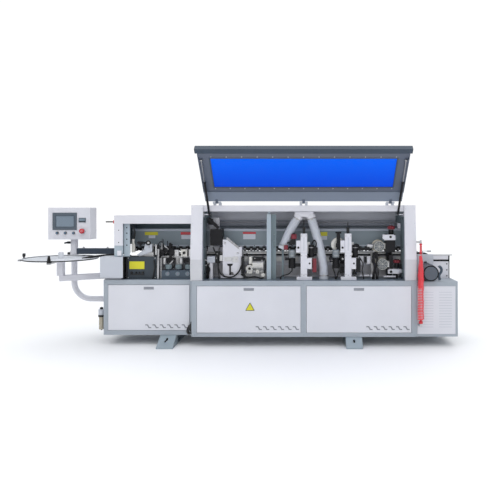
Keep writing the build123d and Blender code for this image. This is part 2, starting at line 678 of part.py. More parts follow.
def fine_trim_column(x):
    """Column with base plate, rear arm, lower plate and lower motor of one fine trimming unit."""
    column = block((x - 32, x + 32), (65, 135), (672, 1097))
    column -= block((x - 27, x + 27), (70, 136), (660, 1080))
    column -= rod_z(x, 100, (1070, 1100), 5 + RUNNING_GAP)
    return [
        column,
        block((x - 72, x + 80), (60, 200), (BENCH_Z, 672)),
        block((x + 34, x + 77), (68, 76), (750, 858)),
        block((x + 32, x + 34), (68, 135), (760, 850)),
        rod_z(x - 118, 118, (755, 853), 34),
        block((x - 84, x - 32), (96, 134), (770, 800)),
        block((x + 85, x + 124), (90, 140), (716, 850)),
        block((x + 77, x + 85), (68, 120), (760, 840)),
        block((x - 20, x + 20), (136, 300), (BENCH_Z + 29, 760)),
        block((x - 60, x + 60), (262, 322), (760, 855)),
    ]


def fine_trim():
    """Both fine trimming units: fixed columns, moving upper heads and their adjusting knobs."""
    pieces = []
    for x in FINE_TRIM_X:
        pieces += fine_trim_column(x)
    left_nozzle = rod_between(DUST_LEFT[-1], past_end(DUST_LEFT[-1], DUST_LEFT[-2], 44), HOSE_R + 2)
    left_nozzle += block((-216, -196), (170, 208), (BENCH_Z, 960))
    pieces.append(left_nozzle)
    pieces.append(rod_z(DUST_RIGHT[-1][0], 150, (BENCH_Z, DUST_RIGHT[-1][2]), HOSE_R + 2))
    write("fine_trim_columns", *pieces)
    for index, x in enumerate(FINE_TRIM_X):
        plate = block((x - 75, x - 34), (68, 76), (913, 1029))
        slider = block((x - 75, x + 60), (140, 158), (905, 1010))
        link = block((x - 75, x - 67), (76, 140), (920, 1010))
        left_motor = rod_z(x - 118, 120, (862, 936), 36)
        bridge = block((x - 118, x - 75), (136, 158), (905, 932))
        right_motor = rod_z(x + 73, 122, (864, 985), 28)
        head = plate + slider + link + left_motor + bridge + right_motor
        write("fine_trim_head_" + str(index + 1), head)
        top = FINE_KNOB_TOP[index]
        knob = rod_z(x, 100, (1102, 1163), 14.5) + rod_z(x, 100, (1163, top), 5)
        knob += rod_z(x, 100, (1082, 1102), 5)
        write("fine_trim_knob_" + str(index + 1), knob)


def buffing():
    """Buffing unit: two motors on clamp plates and two cloth wheels."""
    ux, uz = BUFF_UPPER
    lx, lz = BUFF_LOWER
    upper_motor = rod_y(ux, (130, 222), uz, 50) - rod_y(ux, (200, 223), uz, 9 + RUNNING_GAP)
    lower_motor = rod_y(lx, (130, 222), lz, 53) - rod_y(lx, (200, 223), lz, 9 + RUNNING_GAP)
    write(
        "buffing_unit",
        upper_motor,
        lower_motor,
        block((821, 917), (150, 250), (912, 1089)),
        block((804, 918), (140, 150), (1030, 1078)),
        block((800, 821), (160, 210), (940, 1000)),
        block((850, 900), (250, 322), (BENCH_Z, 1060)),
        block((858, 984), (170, 250), (700, 740)),
        block((838, 858), (160, 210), (760, 820)),
        block((858, 900), (170, 250), (740, 880)),
        rod_z(883, 195, (1089, 1130), 26),
        rod_z(940, 195, (740, 836), 24),
        rod_x((640, 700), 190, 967, 24),
        block((690, 740), (270, 322), (BENCH_Z, 880)),
    )
    for name, x, z, r in (("buffing_wheel_upper", ux, uz, 62), ("buffing_wheel_lower", lx, lz, 58)):
        write(name, rod_y(x, (230, 262), z, r) + rod_y(x, (204, 262), z, 9))


def drive_motor():
    """Gear motor of the feed chain, lying along y on the right cabinet."""
    x, z = MOTOR_AXIS
    gearbox = block((x - 80, x + 80), (220, 258), (640, 880)) - rod_y(x, (219, 259), SPROCKET_Z, 19)
    carrier = block((x - 60, x + 60), (300, 330), (635, 870))
    carrier -= rod_y(x, (299, 331), SPROCKET_Z, 15 + RUNNING_GAP)
    write(
        "drive_motor",
        rod_y(x, (-5, 220), z, 77),
        rod_y(x, (-20, -5), z, 60),
        block((x - 45, x + 45), (60, 200), (635, 645)) - rod_y(x, (50, 210), z, 77),
        gearbox,
        carrier,
        block((x - 60, x - 40), (258, 300), (640, 870)),
        block((x + 40, x + 60), (258, 300), (640, 800)),
    )


def air_fittings():
    """Filter and regulator on the left side, hose outlet and blow gun hook on the right."""
    x, y = AIR_HOSE_X, AIR_HOSE_Y
    write(
        "air_fittings",
        block((-1992, LEFT_X[0]), (150, 190), (270, 330)),
        rod_z(-2021, 170, (262, 338), 29),
        rod_z(-2021, 170, (139, 262), 24),
        block((x - 12, x + 12), (y - 10, RIGHT_FRONT_Y - 2), (210, 234)),
        rod_z(x, y, (234, 246), 10),
        block((CHEEK_RIGHT_X[1], x + 8), (10, 26), (1010, 1026)),
        block((x - 8, x + 8), (y - 14, 10), (1010, 1026)),
        rod_z(x, y, (1026, 1040), 8),
    )


def air_hose():
    """Curly hose as one tube of its outer size, and the blow gun that hangs from the hook."""
    x, y = AIR_HOSE_X, AIR_HOSE_Y
    write("air_hose", rod_z(x, y, (246, 905), AIR_HOSE_R))
    write("blow_gun", rod_z(x, y, (905, 1009.5), 9) + block((x - 8, x + 8), (y - 12, y + 12), (930, 990)))


def dust_extraction():
    """Manifold under the roof with its rear spigot, and two flexible hoses."""
    body = block((-84, 100), (112, 260), (1262, 1312))
    for route in (DUST_LEFT, DUST_RIGHT):
        body += rod_between(past_end(route[0], route[1], 44), route[0], HOSE_R + 2)
    pipe = rod_y(DUCT_X, (260, 552), DUCT_Z, DUCT_R - 2)
    spigot = rod_y(DUCT_X, (552, 600), DUCT_Z, DUCT_R)
    duct = pipe + spigot - rod_y(DUCT_X, (262, 601), DUCT_Z, DUCT_R - 5)
    hanger = block((-20, 24), (180, 220), (1312, 1373))
    write("dust_manifold", body, duct, hanger)
    write("dust_hose_left", tube(DUST_LEFT, HOSE_R))
    write("dust_hose_right", tube(DUST_RIGHT, HOSE_R))


def lid_place():
    """Turns a piece drawn along the lid (x, distance from hinge, inward) to its open place."""
    return Pos(0, LID_AXIS_Y, LID_AXIS_Z) * Rot(LID_OPEN_ANGLE, 0, 0)


def lid_shell():
    """Lid frame of folded sheet: hinge strip, four bars, a rim, hinge knuckles and strut studs."""
    x0, x1 = LID_X
    window_u = (205, 551)
    window_x = (-846, 852)
    thin = (-10, 0)
    place = lid_place()
    pieces = [
        block((x0, x1), (14, 140), (-8, -4)),
        block((x0, x1), (140, window_u[0]), thin),
        block((x0, x1), (window_u[1], LID_LENGTH), thin),
        block((x0, window_x[0]), window_u, thin),
        block((window_x[1], x1), window_u, thin),
        block((x0, x0 + 3), (140, LID_LENGTH), (-26, -10)),
        block((x1 - 3, x1), (140, LID_LENGTH), (-26, -10)),
    ]
    for x in HINGE_X:
        knuckle = rod_x((x - 13, x + 13), 0, 0, 10) + block((x - 13, x + 13), (0, 40), (-4, 0))
        knuckle -= rod_x((x - 20, x + 20), 0, 0, 4 + RUNNING_GAP)
        pieces.append(knuckle)
    for x, side in ((STRUT_X[0], -1), (STRUT_X[1], 1)):
        near = x + side * 12
        far = x + side * 26
        stud = block(sorted((near, far)), (STRUT_HEAD_U - 14, STRUT_HEAD_U + 14), (0, STRUT_HEAD_N + 8))
        pieces.append(stud)
    write("lid_shell", *[place * piece for piece in pieces])
    pane = block((window_x[0], window_x[1]), window_u, (-8, -3))
    write("lid_window", place * pane)
    rail_x = (x0 - 19, x1 + 19)
    rail = block(rail_x, (LID_LENGTH, LID_LENGTH + 50), (-52, 0))
    rail -= block((rail_x[0] - 1, rail_x[1] + 1), (LID_LENGTH + 3, LID_LENGTH + 47), (-49, -3))
    write("lid_rail", place * rail)


def lid_hinges():
    """Fixed halves of the three lid hinges, with their pins."""
    pieces = []
    for x in HINGE_X:
        hinge = rod_x((x - 40, x + 40), LID_AXIS_Y, LID_AXIS_Z, 4)
        for low, high in ((x - 40, x - 14), (x + 14, x + 40)):
            hinge += rod_x((low, high), LID_AXIS_Y, LID_AXIS_Z, 10)
            hinge += block((low, high), (LID_AXIS_Y, 100), (1392, 1402))
            hinge += block((low, high), (78, 100), (1376, 1392))
        pieces.append(hinge)
    write("lid_hinges", *pieces)


def struts():
    """Gas struts: cylinders on the hood pins and rods that reach the lid."""
    angle = radians(LID_OPEN_ANGLE)
    head_y = LID_AXIS_Y + STRUT_HEAD_U * cos(angle) - STRUT_HEAD_N * sin(angle)
    head_z = LID_AXIS_Z + STRUT_HEAD_U * sin(angle) + STRUT_HEAD_N * cos(angle)
    length = hypot(head_y - STRUT_FOOT[0], head_z - STRUT_FOOT[1])
    lean = degrees(atan2(head_z - STRUT_FOOT[1], head_y - STRUT_FOOT[0]))
    print("    strut length", round(length, 2), "lean", round(lean, 3))
    cylinders = []
    rods = []
    for x in STRUT_X:
        place = Pos(x, STRUT_FOOT[0], STRUT_FOOT[1]) * Rot(lean, 0, 0) * Rot(-90, 0, 0)
        body = rod_z(0, 0, (8, STRUT_TUBE_LENGTH), 11)
        body -= rod_z(0, 0, (150, STRUT_TUBE_LENGTH + 1), 5 + RUNNING_GAP)
        eye = rod_x((-7, 7), 0, 0, 12) - rod_x((-8, 8), 0, 0, 5 + RUNNING_GAP)
        body -= rod_x((-20, 20), 0, 0, 5 + RUNNING_GAP)
        cylinders.append(place * (body + eye))
        rod = rod_z(0, 0, (390, length), 5) + rod_x((-8, 8), 0, length, 9)
        rods.append(place * rod)
    write("strut_cylinders", *cylinders)
    write("strut_rods", *rods)


def unit_cables():
    """Cables and air lines that stay clipped between the units and the bench."""
    write("unit_cables", *[tube(route, CABLE_R) for route in CABLE_ROUTES])


os.makedirs("parts", exist_ok=True)
base_frame()
support_rail()
for door_name in DOORS:
    door(door_name)
side_panel()
floor_feet()
hood_cheeks()
hood_roof()
middle_post()
infeed_guard()
main_switch()
conveyor_bed()
conveyor_chain()
sprockets()
pressure_beam()
pressure_rollers()
guide_bars()
glue_unit()
glue_rollers()
regulator_bank()
tape_disc()
tape_arm()
mast_tube()
mast_sleeve()
control_box()
control_screen()
push_buttons()
end_trim()
rough_trim()
fine_trim()
buffing()
drive_motor()
air_fittings()
air_hose()
dust_extraction()
lid_shell()
lid_hinges()
struts()
unit_cables()
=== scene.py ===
"""Looks of the edge banding machine: materials for its CAD nodes, and the detail pieces around them.

Sizes are in millimetres from the machine's datum (x from the post between the two main doors, y from the
front face of the main cabinet, z from the floor), and at() turns them into metres in the frame.
"""
import math

import bmesh
import bpy
from mathutils import Matrix, Vector


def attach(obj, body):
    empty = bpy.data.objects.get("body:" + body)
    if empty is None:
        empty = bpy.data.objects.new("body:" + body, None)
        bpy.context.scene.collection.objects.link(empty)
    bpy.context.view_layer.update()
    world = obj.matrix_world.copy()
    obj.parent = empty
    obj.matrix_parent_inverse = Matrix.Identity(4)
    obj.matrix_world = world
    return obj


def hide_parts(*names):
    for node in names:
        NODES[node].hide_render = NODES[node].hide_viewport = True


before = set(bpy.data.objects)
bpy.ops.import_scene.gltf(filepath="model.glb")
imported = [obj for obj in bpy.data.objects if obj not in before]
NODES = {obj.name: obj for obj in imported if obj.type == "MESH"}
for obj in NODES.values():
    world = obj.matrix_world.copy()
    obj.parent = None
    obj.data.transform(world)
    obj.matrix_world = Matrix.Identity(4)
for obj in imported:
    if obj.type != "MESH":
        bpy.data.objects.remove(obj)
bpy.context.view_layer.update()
DATUM = Vector((0.659, -0.135, 0.0))

CAMERA_DISTANCE = 5200
CAMERA_HEIGHT = 1335
BENCH_Z = 643
TRACK_Z = 892
HOOD_TOP = 1378
COLUMN_FOOT_Z = 735
COLUMN_LEAN_Z = 850
LID_HINGE_YZ = (47, 1402)
LID_OPEN = math.radians(134.3)
LID_X = (-957, 963)
HOOD_WALL_X = (-983, 989)
BEAM_X = (-1764, 1058)
CHAIN_PITCH = 64
ROLLER_X = [-1726 + 66 * k for k in range(42)]
REGULATOR_X = (-1343, -1243, -1146)
TAPE_CENTRE = (-2408, 128)
BUTTON_X = (-2593, -2507, -2420)
BUTTON_Z = 1087
STOP_XZ = (-2324, 1108)
BOX_FACE_Y = 450
FINE_TRIM_X = (6, 441)
DRIVE_MOTOR_XZ = (1234, 717)
FILTER_XY = (-2021, 170)
HOSE_R = 46
AIR_HOSE_XY = (1130, -44)
AIR_HOSE_RADIUS = 4
DOORS = (("left", -1522, 83, -1119), ("middle", -529, 0, -23), ("right", 539.5, 0, 1050))
REAR_COVERS_X = ((-1900, -1180), (-1000, -260), (-180, 560), (640, 1420))


def at(x, y, z):
    """A point in metres in the frame, from millimetres at the machine's datum."""
    return Vector((x, y, z)) / 1000 + DATUM


# ---------------------------------------------------------------- materials

def new_material(name):
    material = bpy.data.materials.new(name)
    material.use_nodes = True
    return material, material.node_tree.nodes, material.node_tree.links


def noise(nodes, links, scale, detail=4.0, stretch=(1, 1, 1)):
    """Object-space noise whose pattern is scaled by stretch."""
    coords = nodes.new("ShaderNodeTexCoord")
    mapping = nodes.new("ShaderNodeMapping")
    mapping.inputs["Scale"].default_value = stretch
    texture = nodes.new("ShaderNodeTexNoise")
    texture.inputs["Scale"].default_value = scale
    texture.inputs["Detail"].default_value = detail
    links.new(coords.outputs["Object"], mapping.inputs["Vector"])
    links.new(mapping.outputs["Vector"], texture.inputs["Vector"])
    return texture.outputs["Fac"]


def ramp(nodes, links, source, stops):
    """Colour ramp over a 0..1 value; stops are (position, colour)."""
    node = nodes.new("ShaderNodeValToRGB")
    while len(node.color_ramp.elements) < len(stops):
        node.color_ramp.elements.new(0.5)
    for element, (place, colour) in zip(node.color_ramp.elements, stops):
        element.position = place
        element.color = (*colour, 1)
    links.new(source, node.inputs["Fac"])
    return node.outputs["Color"]


def to_linear(colour):
    """Linear values of an sRGB colour given from 0 to 255."""
    shares = [c / 255 for c in colour]
    return tuple(s / 12.92 if s <= 0.04045 else ((s + 0.055) / 1.055) ** 2.4 for s in shares)


def shaded(colour, factor):
    return tuple(min(1.0, c * factor) for c in colour)


def add_bump(nodes, links, shader, height, strength, distance):
    bump = nodes.new("ShaderNodeBump")
    bump.inputs["Strength"].default_value = strength
    bump.inputs["Distance"].default_value = distance
    links.new(height, bump.inputs["Height"])
    links.new(bump.outputs["Normal"], shader.inputs["Normal"])


def map_range(nodes, links, source, **limits):
    """Value scaled from one range to another; limits are from_min, from_max, to_min and to_max."""
    spread = nodes.new("ShaderNodeMapRange")
    for limit, value in limits.items():
        spread.inputs[limit.replace("_", " ").title()].default_value = value
    links.new(source, spread.inputs["Value"])
    return spread.outputs["Result"]


def roughness_range(nodes, links, shader, source, low, high):
    links.new(map_range(nodes, links, source, to_min=low, to_max=high), shader.inputs["Roughness"])


def powder_coat(name, colour, rough=0.38, grain=1100, strength=0.06, soil=0.05):
    """Painted sheet: fine orange-peel bump, faint clouding and slightly uneven gloss."""
    material, nodes, links = new_material(name)
    shader = nodes["Principled BSDF"]
    base = to_linear(colour)
    stops = [(0.3, shaded(base, 1 - soil)), (0.62, base), (0.8, shaded(base, 1 + soil / 2))]
    tint = ramp(nodes, links, noise(nodes, links, 2.6, 5), stops)
    links.new(tint, shader.inputs["Base Color"])
    peel = noise(nodes, links, grain, 2)
    add_bump(nodes, links, shader, peel, strength, 0.0004)
    roughness_range(nodes, links, shader, noise(nodes, links, 14, 3), rough - 0.06, rough + 0.08)
    return material


def machined(name, colour, rough=0.32, stretch=(1, 30, 30), metallic=1.0, marks=0.12):
    """Bare metal with fine directional tool marks and stains."""
    material, nodes, links = new_material(name)
    shader = nodes["Principled BSDF"]
    base = to_linear(colour)
    shader.inputs["Metallic"].default_value = metallic
    grain = noise(nodes, links, 60, 6, stretch)
    tint = ramp(nodes, links, grain, [(0.3, shaded(base, 1 - marks)), (0.7, shaded(base, 1 + marks / 2))])
    links.new(tint, shader.inputs["Base Color"])
    add_bump(nodes, links, shader, grain, 0.12, 0.0002)
    roughness_range(nodes, links, shader, noise(nodes, links, 25, 4), rough - 0.08, rough + 0.14)
    return material


def moulded(name, colour, rough=0.5, grain=900, strength=0.12, coat=0.0):
    """Plastic or rubber with a fine moulded texture."""
    material, nodes, links = new_material(name)
    shader = nodes["Principled BSDF"]
    base = to_linear(colour)
    shader.inputs["Coat Weight"].default_value = coat
    speckle = noise(nodes, links, grain, 3)
    tint = ramp(nodes, links, speckle, [(0.35, shaded(base, 0.9)), (0.65, shaded(base, 1.06))])
    links.new(tint, shader.inputs["Base Color"])
    add_bump(nodes, links, shader, speckle, strength, 0.0003)
    roughness_range(nodes, links, shader, noise(nodes, links, 30, 2), rough - 0.05, rough + 0.08)
    return material


def tinted_window(name, deep, bright):
    """Blue acrylic: a smooth vertical gradient of colour, lighter towards the top as painted light; glossy
    and opaque.
    """
    material, nodes, links = new_material(name)
    shader = nodes["Principled BSDF"]
    coords = nodes.new("ShaderNodeTexCoord")
    split = nodes.new("ShaderNodeSeparateXYZ")
    links.new(coords.outputs["Object"], split.inputs["Vector"])
    # painted light: the blue gets lighter with height
    height = map_range(nodes, links, split.outputs["Z"], from_min=1.55, from_max=1.79)
    tint = ramp(nodes, links, height, [(0.0, to_linear(deep)), (1.0, to_linear(bright))])
    links.new(tint, shader.inputs["Base Color"])
    shader.inputs["Coat Weight"].default_value = 0.03
    shader.inputs["Specular IOR Level"].default_value = 0.08
    roughness_range(nodes, links, shader, noise(nodes, links, 6, 2), 0.08, 0.16)
    return material


MATERIALS = {
    "white": powder_coat("white_powder_coat", (217, 217, 224)),
    "door": powder_coat("door_powder_coat", (215, 216, 223)),
    "frame": powder_coat("grey_blue_powder_coat", (160, 168, 177), soil=0.07),
    "bench": powder_coat("bench_paint", (112, 124, 136), rough=0.32, soil=0.1),
    # pale grey for inner faces: partly real grey paint, partly painted shade
    "lining_grey_and_shade": powder_coat("lining_grey_paint_and_painted_shade", (206, 208, 216), rough=0.5, soil=0.08),
    "duct": powder_coat("duct_grey", (150, 154, 166), rough=0.45),
    "ledge": powder_coat("ledge_grey", (176, 183, 195), rough=0.42),
    # grey-green for inner walls and shaded side faces: partly real paint, partly painted shade
    "grey_green_and_shade": powder_coat("grey_green_paint_and_painted_shade", (112, 127, 133), rough=0.45, soil=0.08),
    "strip": machined("track_strip", (228, 228, 226), rough=0.4, metallic=0.2, marks=0.1),
    "inner": powder_coat("inner_grey_green", (136, 149, 158), rough=0.45, soil=0.07),
    "post": powder_coat("post_paint", (168, 181, 191)),
    # slate paint on real parts, also a dark disc of painted shade behind the fan covers
    "slate": powder_coat("slate_paint_and_painted_shade", (62, 76, 90), rough=0.42),
    "lid_frame": powder_coat("lid_frame_paint", (86, 94, 110), rough=0.4),
    "lid_strip": powder_coat("lid_strip_paint", (124, 134, 150), rough=0.4),
    "rail": powder_coat("rail_paint", (50, 64, 80), rough=0.4),
    "navy": powder_coat("navy_paint", (48, 58, 72), rough=0.4),
    "cover": powder_coat("pale_cover_paint", (190, 194, 203)),
    "dark_cover": powder_coat("dark_cover_paint", (50, 60, 70), rough=0.45, soil=0.12),
    "motor": powder_coat("motor_paint", (98, 99, 110), rough=0.4, soil=0.12),
    "bed": powder_coat("bed_paint", (196, 196, 201), rough=0.42, soil=0.12),
    "foot": powder_coat("foot_paint", (146, 159, 168)),
    "steel": machined("brushed_steel", (178, 178, 180)),
    "alu": machined("machined_aluminium", (205, 205, 206), rough=0.42),
    "bright": machined("bright_casting", (222, 220, 214), rough=0.5, metallic=0.35, marks=0.2),
    # black oxide on real parts, also used as painted shade in gaps and on a shaded side face
    "black_metal": machined("black_oxide_and_painted_shade", (30, 30, 33), rough=0.4, metallic=0.6),
    "black": moulded("black_plastic", (24, 24, 27), rough=0.42),
    "rubber": moulded("black_rubber", (30, 31, 34), rough=0.7, strength=0.2),
    "red": moulded("red_plastic", (196, 30, 44), rough=0.3, coat=0.4),
    "red_hose": moulded("red_hose_plastic", (240, 62, 74), rough=0.28, coat=0.5),
    "dark_red": powder_coat("dark_red_paint", (120, 30, 44), rough=0.4),
    "yellow": powder_coat("yellow_plate", (214, 208, 42), rough=0.4),
    "pale_plate": powder_coat("pale_plate", (206, 210, 222), rough=0.4),
    "hose": moulded("grey_hose_plastic", (196, 200, 208), rough=0.5),
    "disc": moulded("disc_plastic", (206, 209, 215), rough=0.4),
    "screen": moulded("screen_glass", (128, 142, 155), rough=0.14, strength=0.01, coat=0.8),
    "bezel": moulded("bezel_plastic", (84, 94, 104), rough=0.4),
    "cloth": moulded("polishing_cloth", (214, 206, 188), rough=0.95, grain=300, strength=0.8),
    "gauge": moulded("gauge_glass", (88, 112, 136), rough=0.16, strength=0.01, coat=0.6),
    # painted shade: slightly darker white for the lower column fronts
    "cheek_painted_shade": powder_coat("lower_column_painted_shade", (200, 201, 206)),
    "pull": powder_coat("pull_cup_paint", (150, 153, 162), rough=0.5),
    "vent": powder_coat("vent_shade", (138, 141, 148), rough=0.6),
    # dark grey: real paint on the motor grille, painted shade on the guard's inner end wall
    "dark_grey_and_guard_shade": powder_coat("dark_grey_paint_and_guard_shade", (92, 104, 116), rough=0.45),
    "bowl": moulded("filter_bowl", (176, 168, 150), rough=0.25, coat=0.4),
    "motor_silver": machined("motor_aluminium", (172, 172, 168), rough=0.45, metallic=0.5, marks=0.15),
    "motor_grey": powder_coat("spindle_motor_grey", (128, 136, 141), rough=0.4, soil=0.1),
    "blue": tinted_window("blue_acrylic", (2, 74, 224), (3, 100, 248)),
}

NODE_MATERIALS = {
    "frame": ["base_frame"],
    "door": ["door_left", "door_middle", "door_right", "right_side_panel"],
    "foot": ["floor_feet"],
    "white": ["hood_cheeks", "hood_roof", "infeed_guard", "control_box", "mast_tube", "mast_sleeve",
              "tape_arm",
              "end_trim_unit", "fine_trim_columns", "dust_manifold"],
    "post": ["middle_post"],
    "bed": ["conveyor_bed"],
    "inner": ["pressure_beam"],
    "slate": ["regulator_bank"],
    "dark_cover": ["glue_unit"],
    "navy": ["guide_bars"],
    "rail": ["lid_rail"],
    "lid_frame": ["lid_shell"],
    "blue": ["lid_window"],
    "steel": ["drive_sprocket", "idler_sprocket", "glue_roller", "end_trim_saw", "strut_rods"],
    "alu": ["rough_trim_unit", "buffing_unit", "fine_trim_head_1", "fine_trim_head_2", "air_fittings",
            "support_rail"],
    "cover": ["lid_hinges"],
    "black_metal": ["strut_cylinders", "end_trim_head"],
    "black": ["main_switch_handle", "mast_clamp_lever", "push_button_1", "push_button_2", "push_button_3",
              "fine_trim_knob_1", "fine_trim_knob_2"],
    "rubber": ["conveyor_chain", "pressure_rollers", "pressing_roller", "unit_cables"],
    "red": ["emergency_stop"],
    "motor": ["drive_motor"],
    "disc": ["tape_disc"],
    "bezel": ["control_screen"],
    "cloth": ["buffing_wheel_upper", "buffing_wheel_lower"],
    "hose": ["dust_hose_left", "dust_hose_right"],
    "red_hose": ["air_hose", "blow_gun"],
}


def soften(piece, width=0.0012):
    """Rounds sharp edges so that they catch the light."""
    if piece in NODES.values():
        weld = piece.modifiers.new("weld", "WELD")
        weld.merge_threshold = 0.00002
    bevel = piece.modifiers.new("edges", "BEVEL")
    bevel.width = width
    bevel.segments = 2
    bevel.limit_method = "ANGLE"
    bevel.angle_limit = math.radians(40)
    bevel.harden_normals = True


def dress_nodes():
    """Gives every CAD node its material and softened edges."""
    for material_name, node_names in NODE_MATERIALS.items():
        for node_name in node_names:
            piece = NODES[node_name]
            piece.data.materials.clear()
            piece.data.materials.append(MATERIALS[material_name])
            soften(piece)


def paint(node_name, *zones):
    """Gives the faces whose centres lie in a box, in millimetres at the datum, a material of their own."""
    piece = NODES[node_name]
    for material_name, x, y, z in zones:
        piece.data.materials.append(MATERIALS[material_name])
        slot_number = len(piece.data.materials) - 1
        for polygon in piece.data.polygons:
            spot = (polygon.center - DATUM) * 1000
            inside = x[0] <= spot.x <= x[1] and y[0] <= spot.y <= y[1] and z[0] <= spot.z <= z[1]
            if inside:
                polygon.material_index = slot_number


WIDE_X = (-3000, 3000)
WIDE_Y = (-500, 900)
WIDE_Z = (0, 2000)


def paint_nodes():
    """Second colours of the nodes that hold differently finished pieces, and darker zones that are painted
    shade.
    """
    paint("base_frame", ("bench", (-1960, 1100), (1, 640), (642.5, 643.5)))
    # The lower front of both columns is painted darker as painted shade, where the face leans back from the
    # light.
    paint("hood_cheeks", ("cheek_painted_shade", WIDE_X, (-6, 9), (643, 851)))
    paint("infeed_guard",
          ("post", (-1866, -1779), (89, 95), (868, 980)), ("post", (-1781, -1719), (119, 124), (868, 1196)),
          # The guard's inner end wall is painted dark grey as painted shade.
          ("dark_grey_and_guard_shade", (-1784, -1779), (102, 548), (891, 1274)),
          # The guard's rear inner face and roof underside get the lining grey, partly painted shade.
          ("lining_grey_and_shade", (-1862, -983), (540, 548), (1019, 1274)),
          ("lining_grey_and_shade", (-1862, -983), (104, 548), (1272, 1274)))
    paint("glue_unit",
          ("cover", (-1996, -1769), WIDE_Y, (640, 870)),
          # The pale box's right side face is painted black as painted shade.
          ("black_metal", (-1770.5, -1769.5), WIDE_Y, (640, 870)),
          ("steel", (-1452, -1422), (95, 125), WIDE_Z),
          ("alu", (-1641, -1499), (199, 291), (863.5, 906)),
          ("bright", (-1600, -1520), (211, 289), (905.5, 986)),
          ("alu", (-1441, -1124), (229, 263), (849, 867)), ("alu", (-1291, -1234), (237, 263), (640, 850)),
          ("bright", (-1229, -1165), (179, 261), (866.5, 933)),
          ("cover", (-1671, -1514), (171, 197), (863.5, 999)))
    paint("guide_bars",
          ("alu", (1200, 1520), (260, 298), (865.5, 877)), ("white", (1200, 1480), (265, 271), (825, 866)),
          ("black_metal", (1200, 1491), (261, 297), (807, 825.5)),
          ("black_metal", (1477.5, 1491), (261, 297), (635, 866)),
          ("white", (1319, 1481.5), (265, 271), (634, 808)))
    paint("air_fittings",
          ("cover", (-2051, -1991), WIDE_Y, (262.5, 340)), ("bowl", (-2051, -1991), WIDE_Y, (130, 262.4)))
    paint("buffing_unit",
          ("motor_silver", (700, 845), (129, 223), (735, 1020)),
          ("black_metal", (819, 918), (149.5, 251), (911, 1090)),
          ("white", (803, 919), (139, 149.4), (1029, 1079)),
          ("slate", (849, 901), (250.5, 323), WIDE_Z), ("white", (857, 985), (169, 251), (699, 740.5)),
          ("black_metal", (857, 901), (169, 251), (740.6, 881)),
          ("black_metal", (856, 910), (168, 222), (1089.5, 1131)),
          ("black_metal", (915, 965), (170, 220), (740.6, 837)))
    for number, x in enumerate(FINE_TRIM_X):
        right_block = "dark_red" if number == 0 else "black_metal"
        paint("fine_trim_columns",
              ("black_metal", (x - 153, x - 83), (83, 153), (754, 854)),
              ("black_metal", (x - 84.5, x - 32.5), (95, 135), (769, 801)),
              (right_block, (x + 84.5, x + 125), (89, 141), (715, 851)),
              ("black_metal", (x + 76.5, x + 85), (67, 121), (759, 841)),
              ("bed", (x - 61, x + 61), (136, 323), (673, 856)))
        paint("fine_trim_head_" + str(number + 1),
              ("white", (x - 76, x - 33), (67, 77), (912, 1030)),
              ("motor_grey", (x - 155, x - 81), (83, 157), (861, 937)),
              ("black_metal", (x + 44, x + 102), (93, 151), (863, 986)))
    paint("fine_trim_columns", ("hose", (-260, -140), (98, 170), (935, 990)),
          ("hose", (150, 256), (100, 200), (643, 690)))
    paint("end_trim_unit",
          ("black_metal", (-965, -845), (189, 231), (1137, 1259)),
          ("cover", (-960, -878), (139, 231), (805, 868)),
          ("alu", (-791, -645), (229.5, 291), (681, 901)))
    paint("tape_arm",
          ("steel", (-2824, -2437.5), (90, 160), (820, 839)),
          ("black_metal", (-2800, -2750), (110, 145), (836.5, 896)),
          ("steel", (-2425, -2330), (-270, 98.5), (823, 836.5)),
          ("black_metal", (-2380, -2330), (-270, -220), (837, 910)),
          ("black_metal", (-2030, -1990), (260, 321), (590, 640)))
    paint("mast_sleeve", ("black", (-2530, -2483), (500, 560), (840, 1000)))
    paint("control_box", ("bezel", (-2367, -2290), (440, 449), (1198, 1247)))
    paint("control_screen", ("screen", (-2604, -2415), (445, 447), (1153, 1267)))
    paint("main_switch_handle", ("red", (-1893.5, -1870), WIDE_Y, WIDE_Z))
    paint("drive_motor", ("cover", (1150, 1320), (219, 335), WIDE_Z))
    # The post's flange, a side face, is given the darker grey-green as painted shade.
    paint("middle_post", ("grey_green_and_shade", (-318, -269), WIDE_Y, WIDE_Z))
    paint("conveyor_chain", ("cover", (1106, 1330), WIDE_Y, (884, 900)))
    paint("fine_trim_columns", ("grey_green_and_shade", (-217, -195), (169, 209), (642, 961)))
    paint("regulator_bank", ("bench", (-1400, -1110), (100, 109), (678, 722)),
          ("grey_green_and_shade", (-1400, -1110), (115, 185), (745.5, 786)))
    for name, middle, front, _ in DOORS:
        paint("door_" + name, ("pull", (middle - 52, middle + 52), (front - 0.5, front + 14), (545, 575)))


# ---------------------------------------------------------------- mesh building

X_AXIS = Vector((1, 0, 0))
Y_AXIS = Vector((0, 1, 0))
Z_AXIS = Vector((0, 0, 1))
FORWARD = -Y_AXIS


def lid_place():
    """Matrix from lid coordinates (x, distance from the hinge, inward) to the machine's, in millimetres."""
    return Matrix.Translation((0, *LID_HINGE_YZ)) @ Matrix.Rotation(LID_OPEN, 4, "X")


def on_circle(centre, radius, count, first=0.0):
    """Evenly spaced (x, y) points on a circle, counted from an angle."""
    angles = [first + 2 * math.pi * k / count for k in range(count)]
    return [(centre[0] + radius * math.cos(angle), centre[1] + radius * math.sin(angle)) for angle in angles]


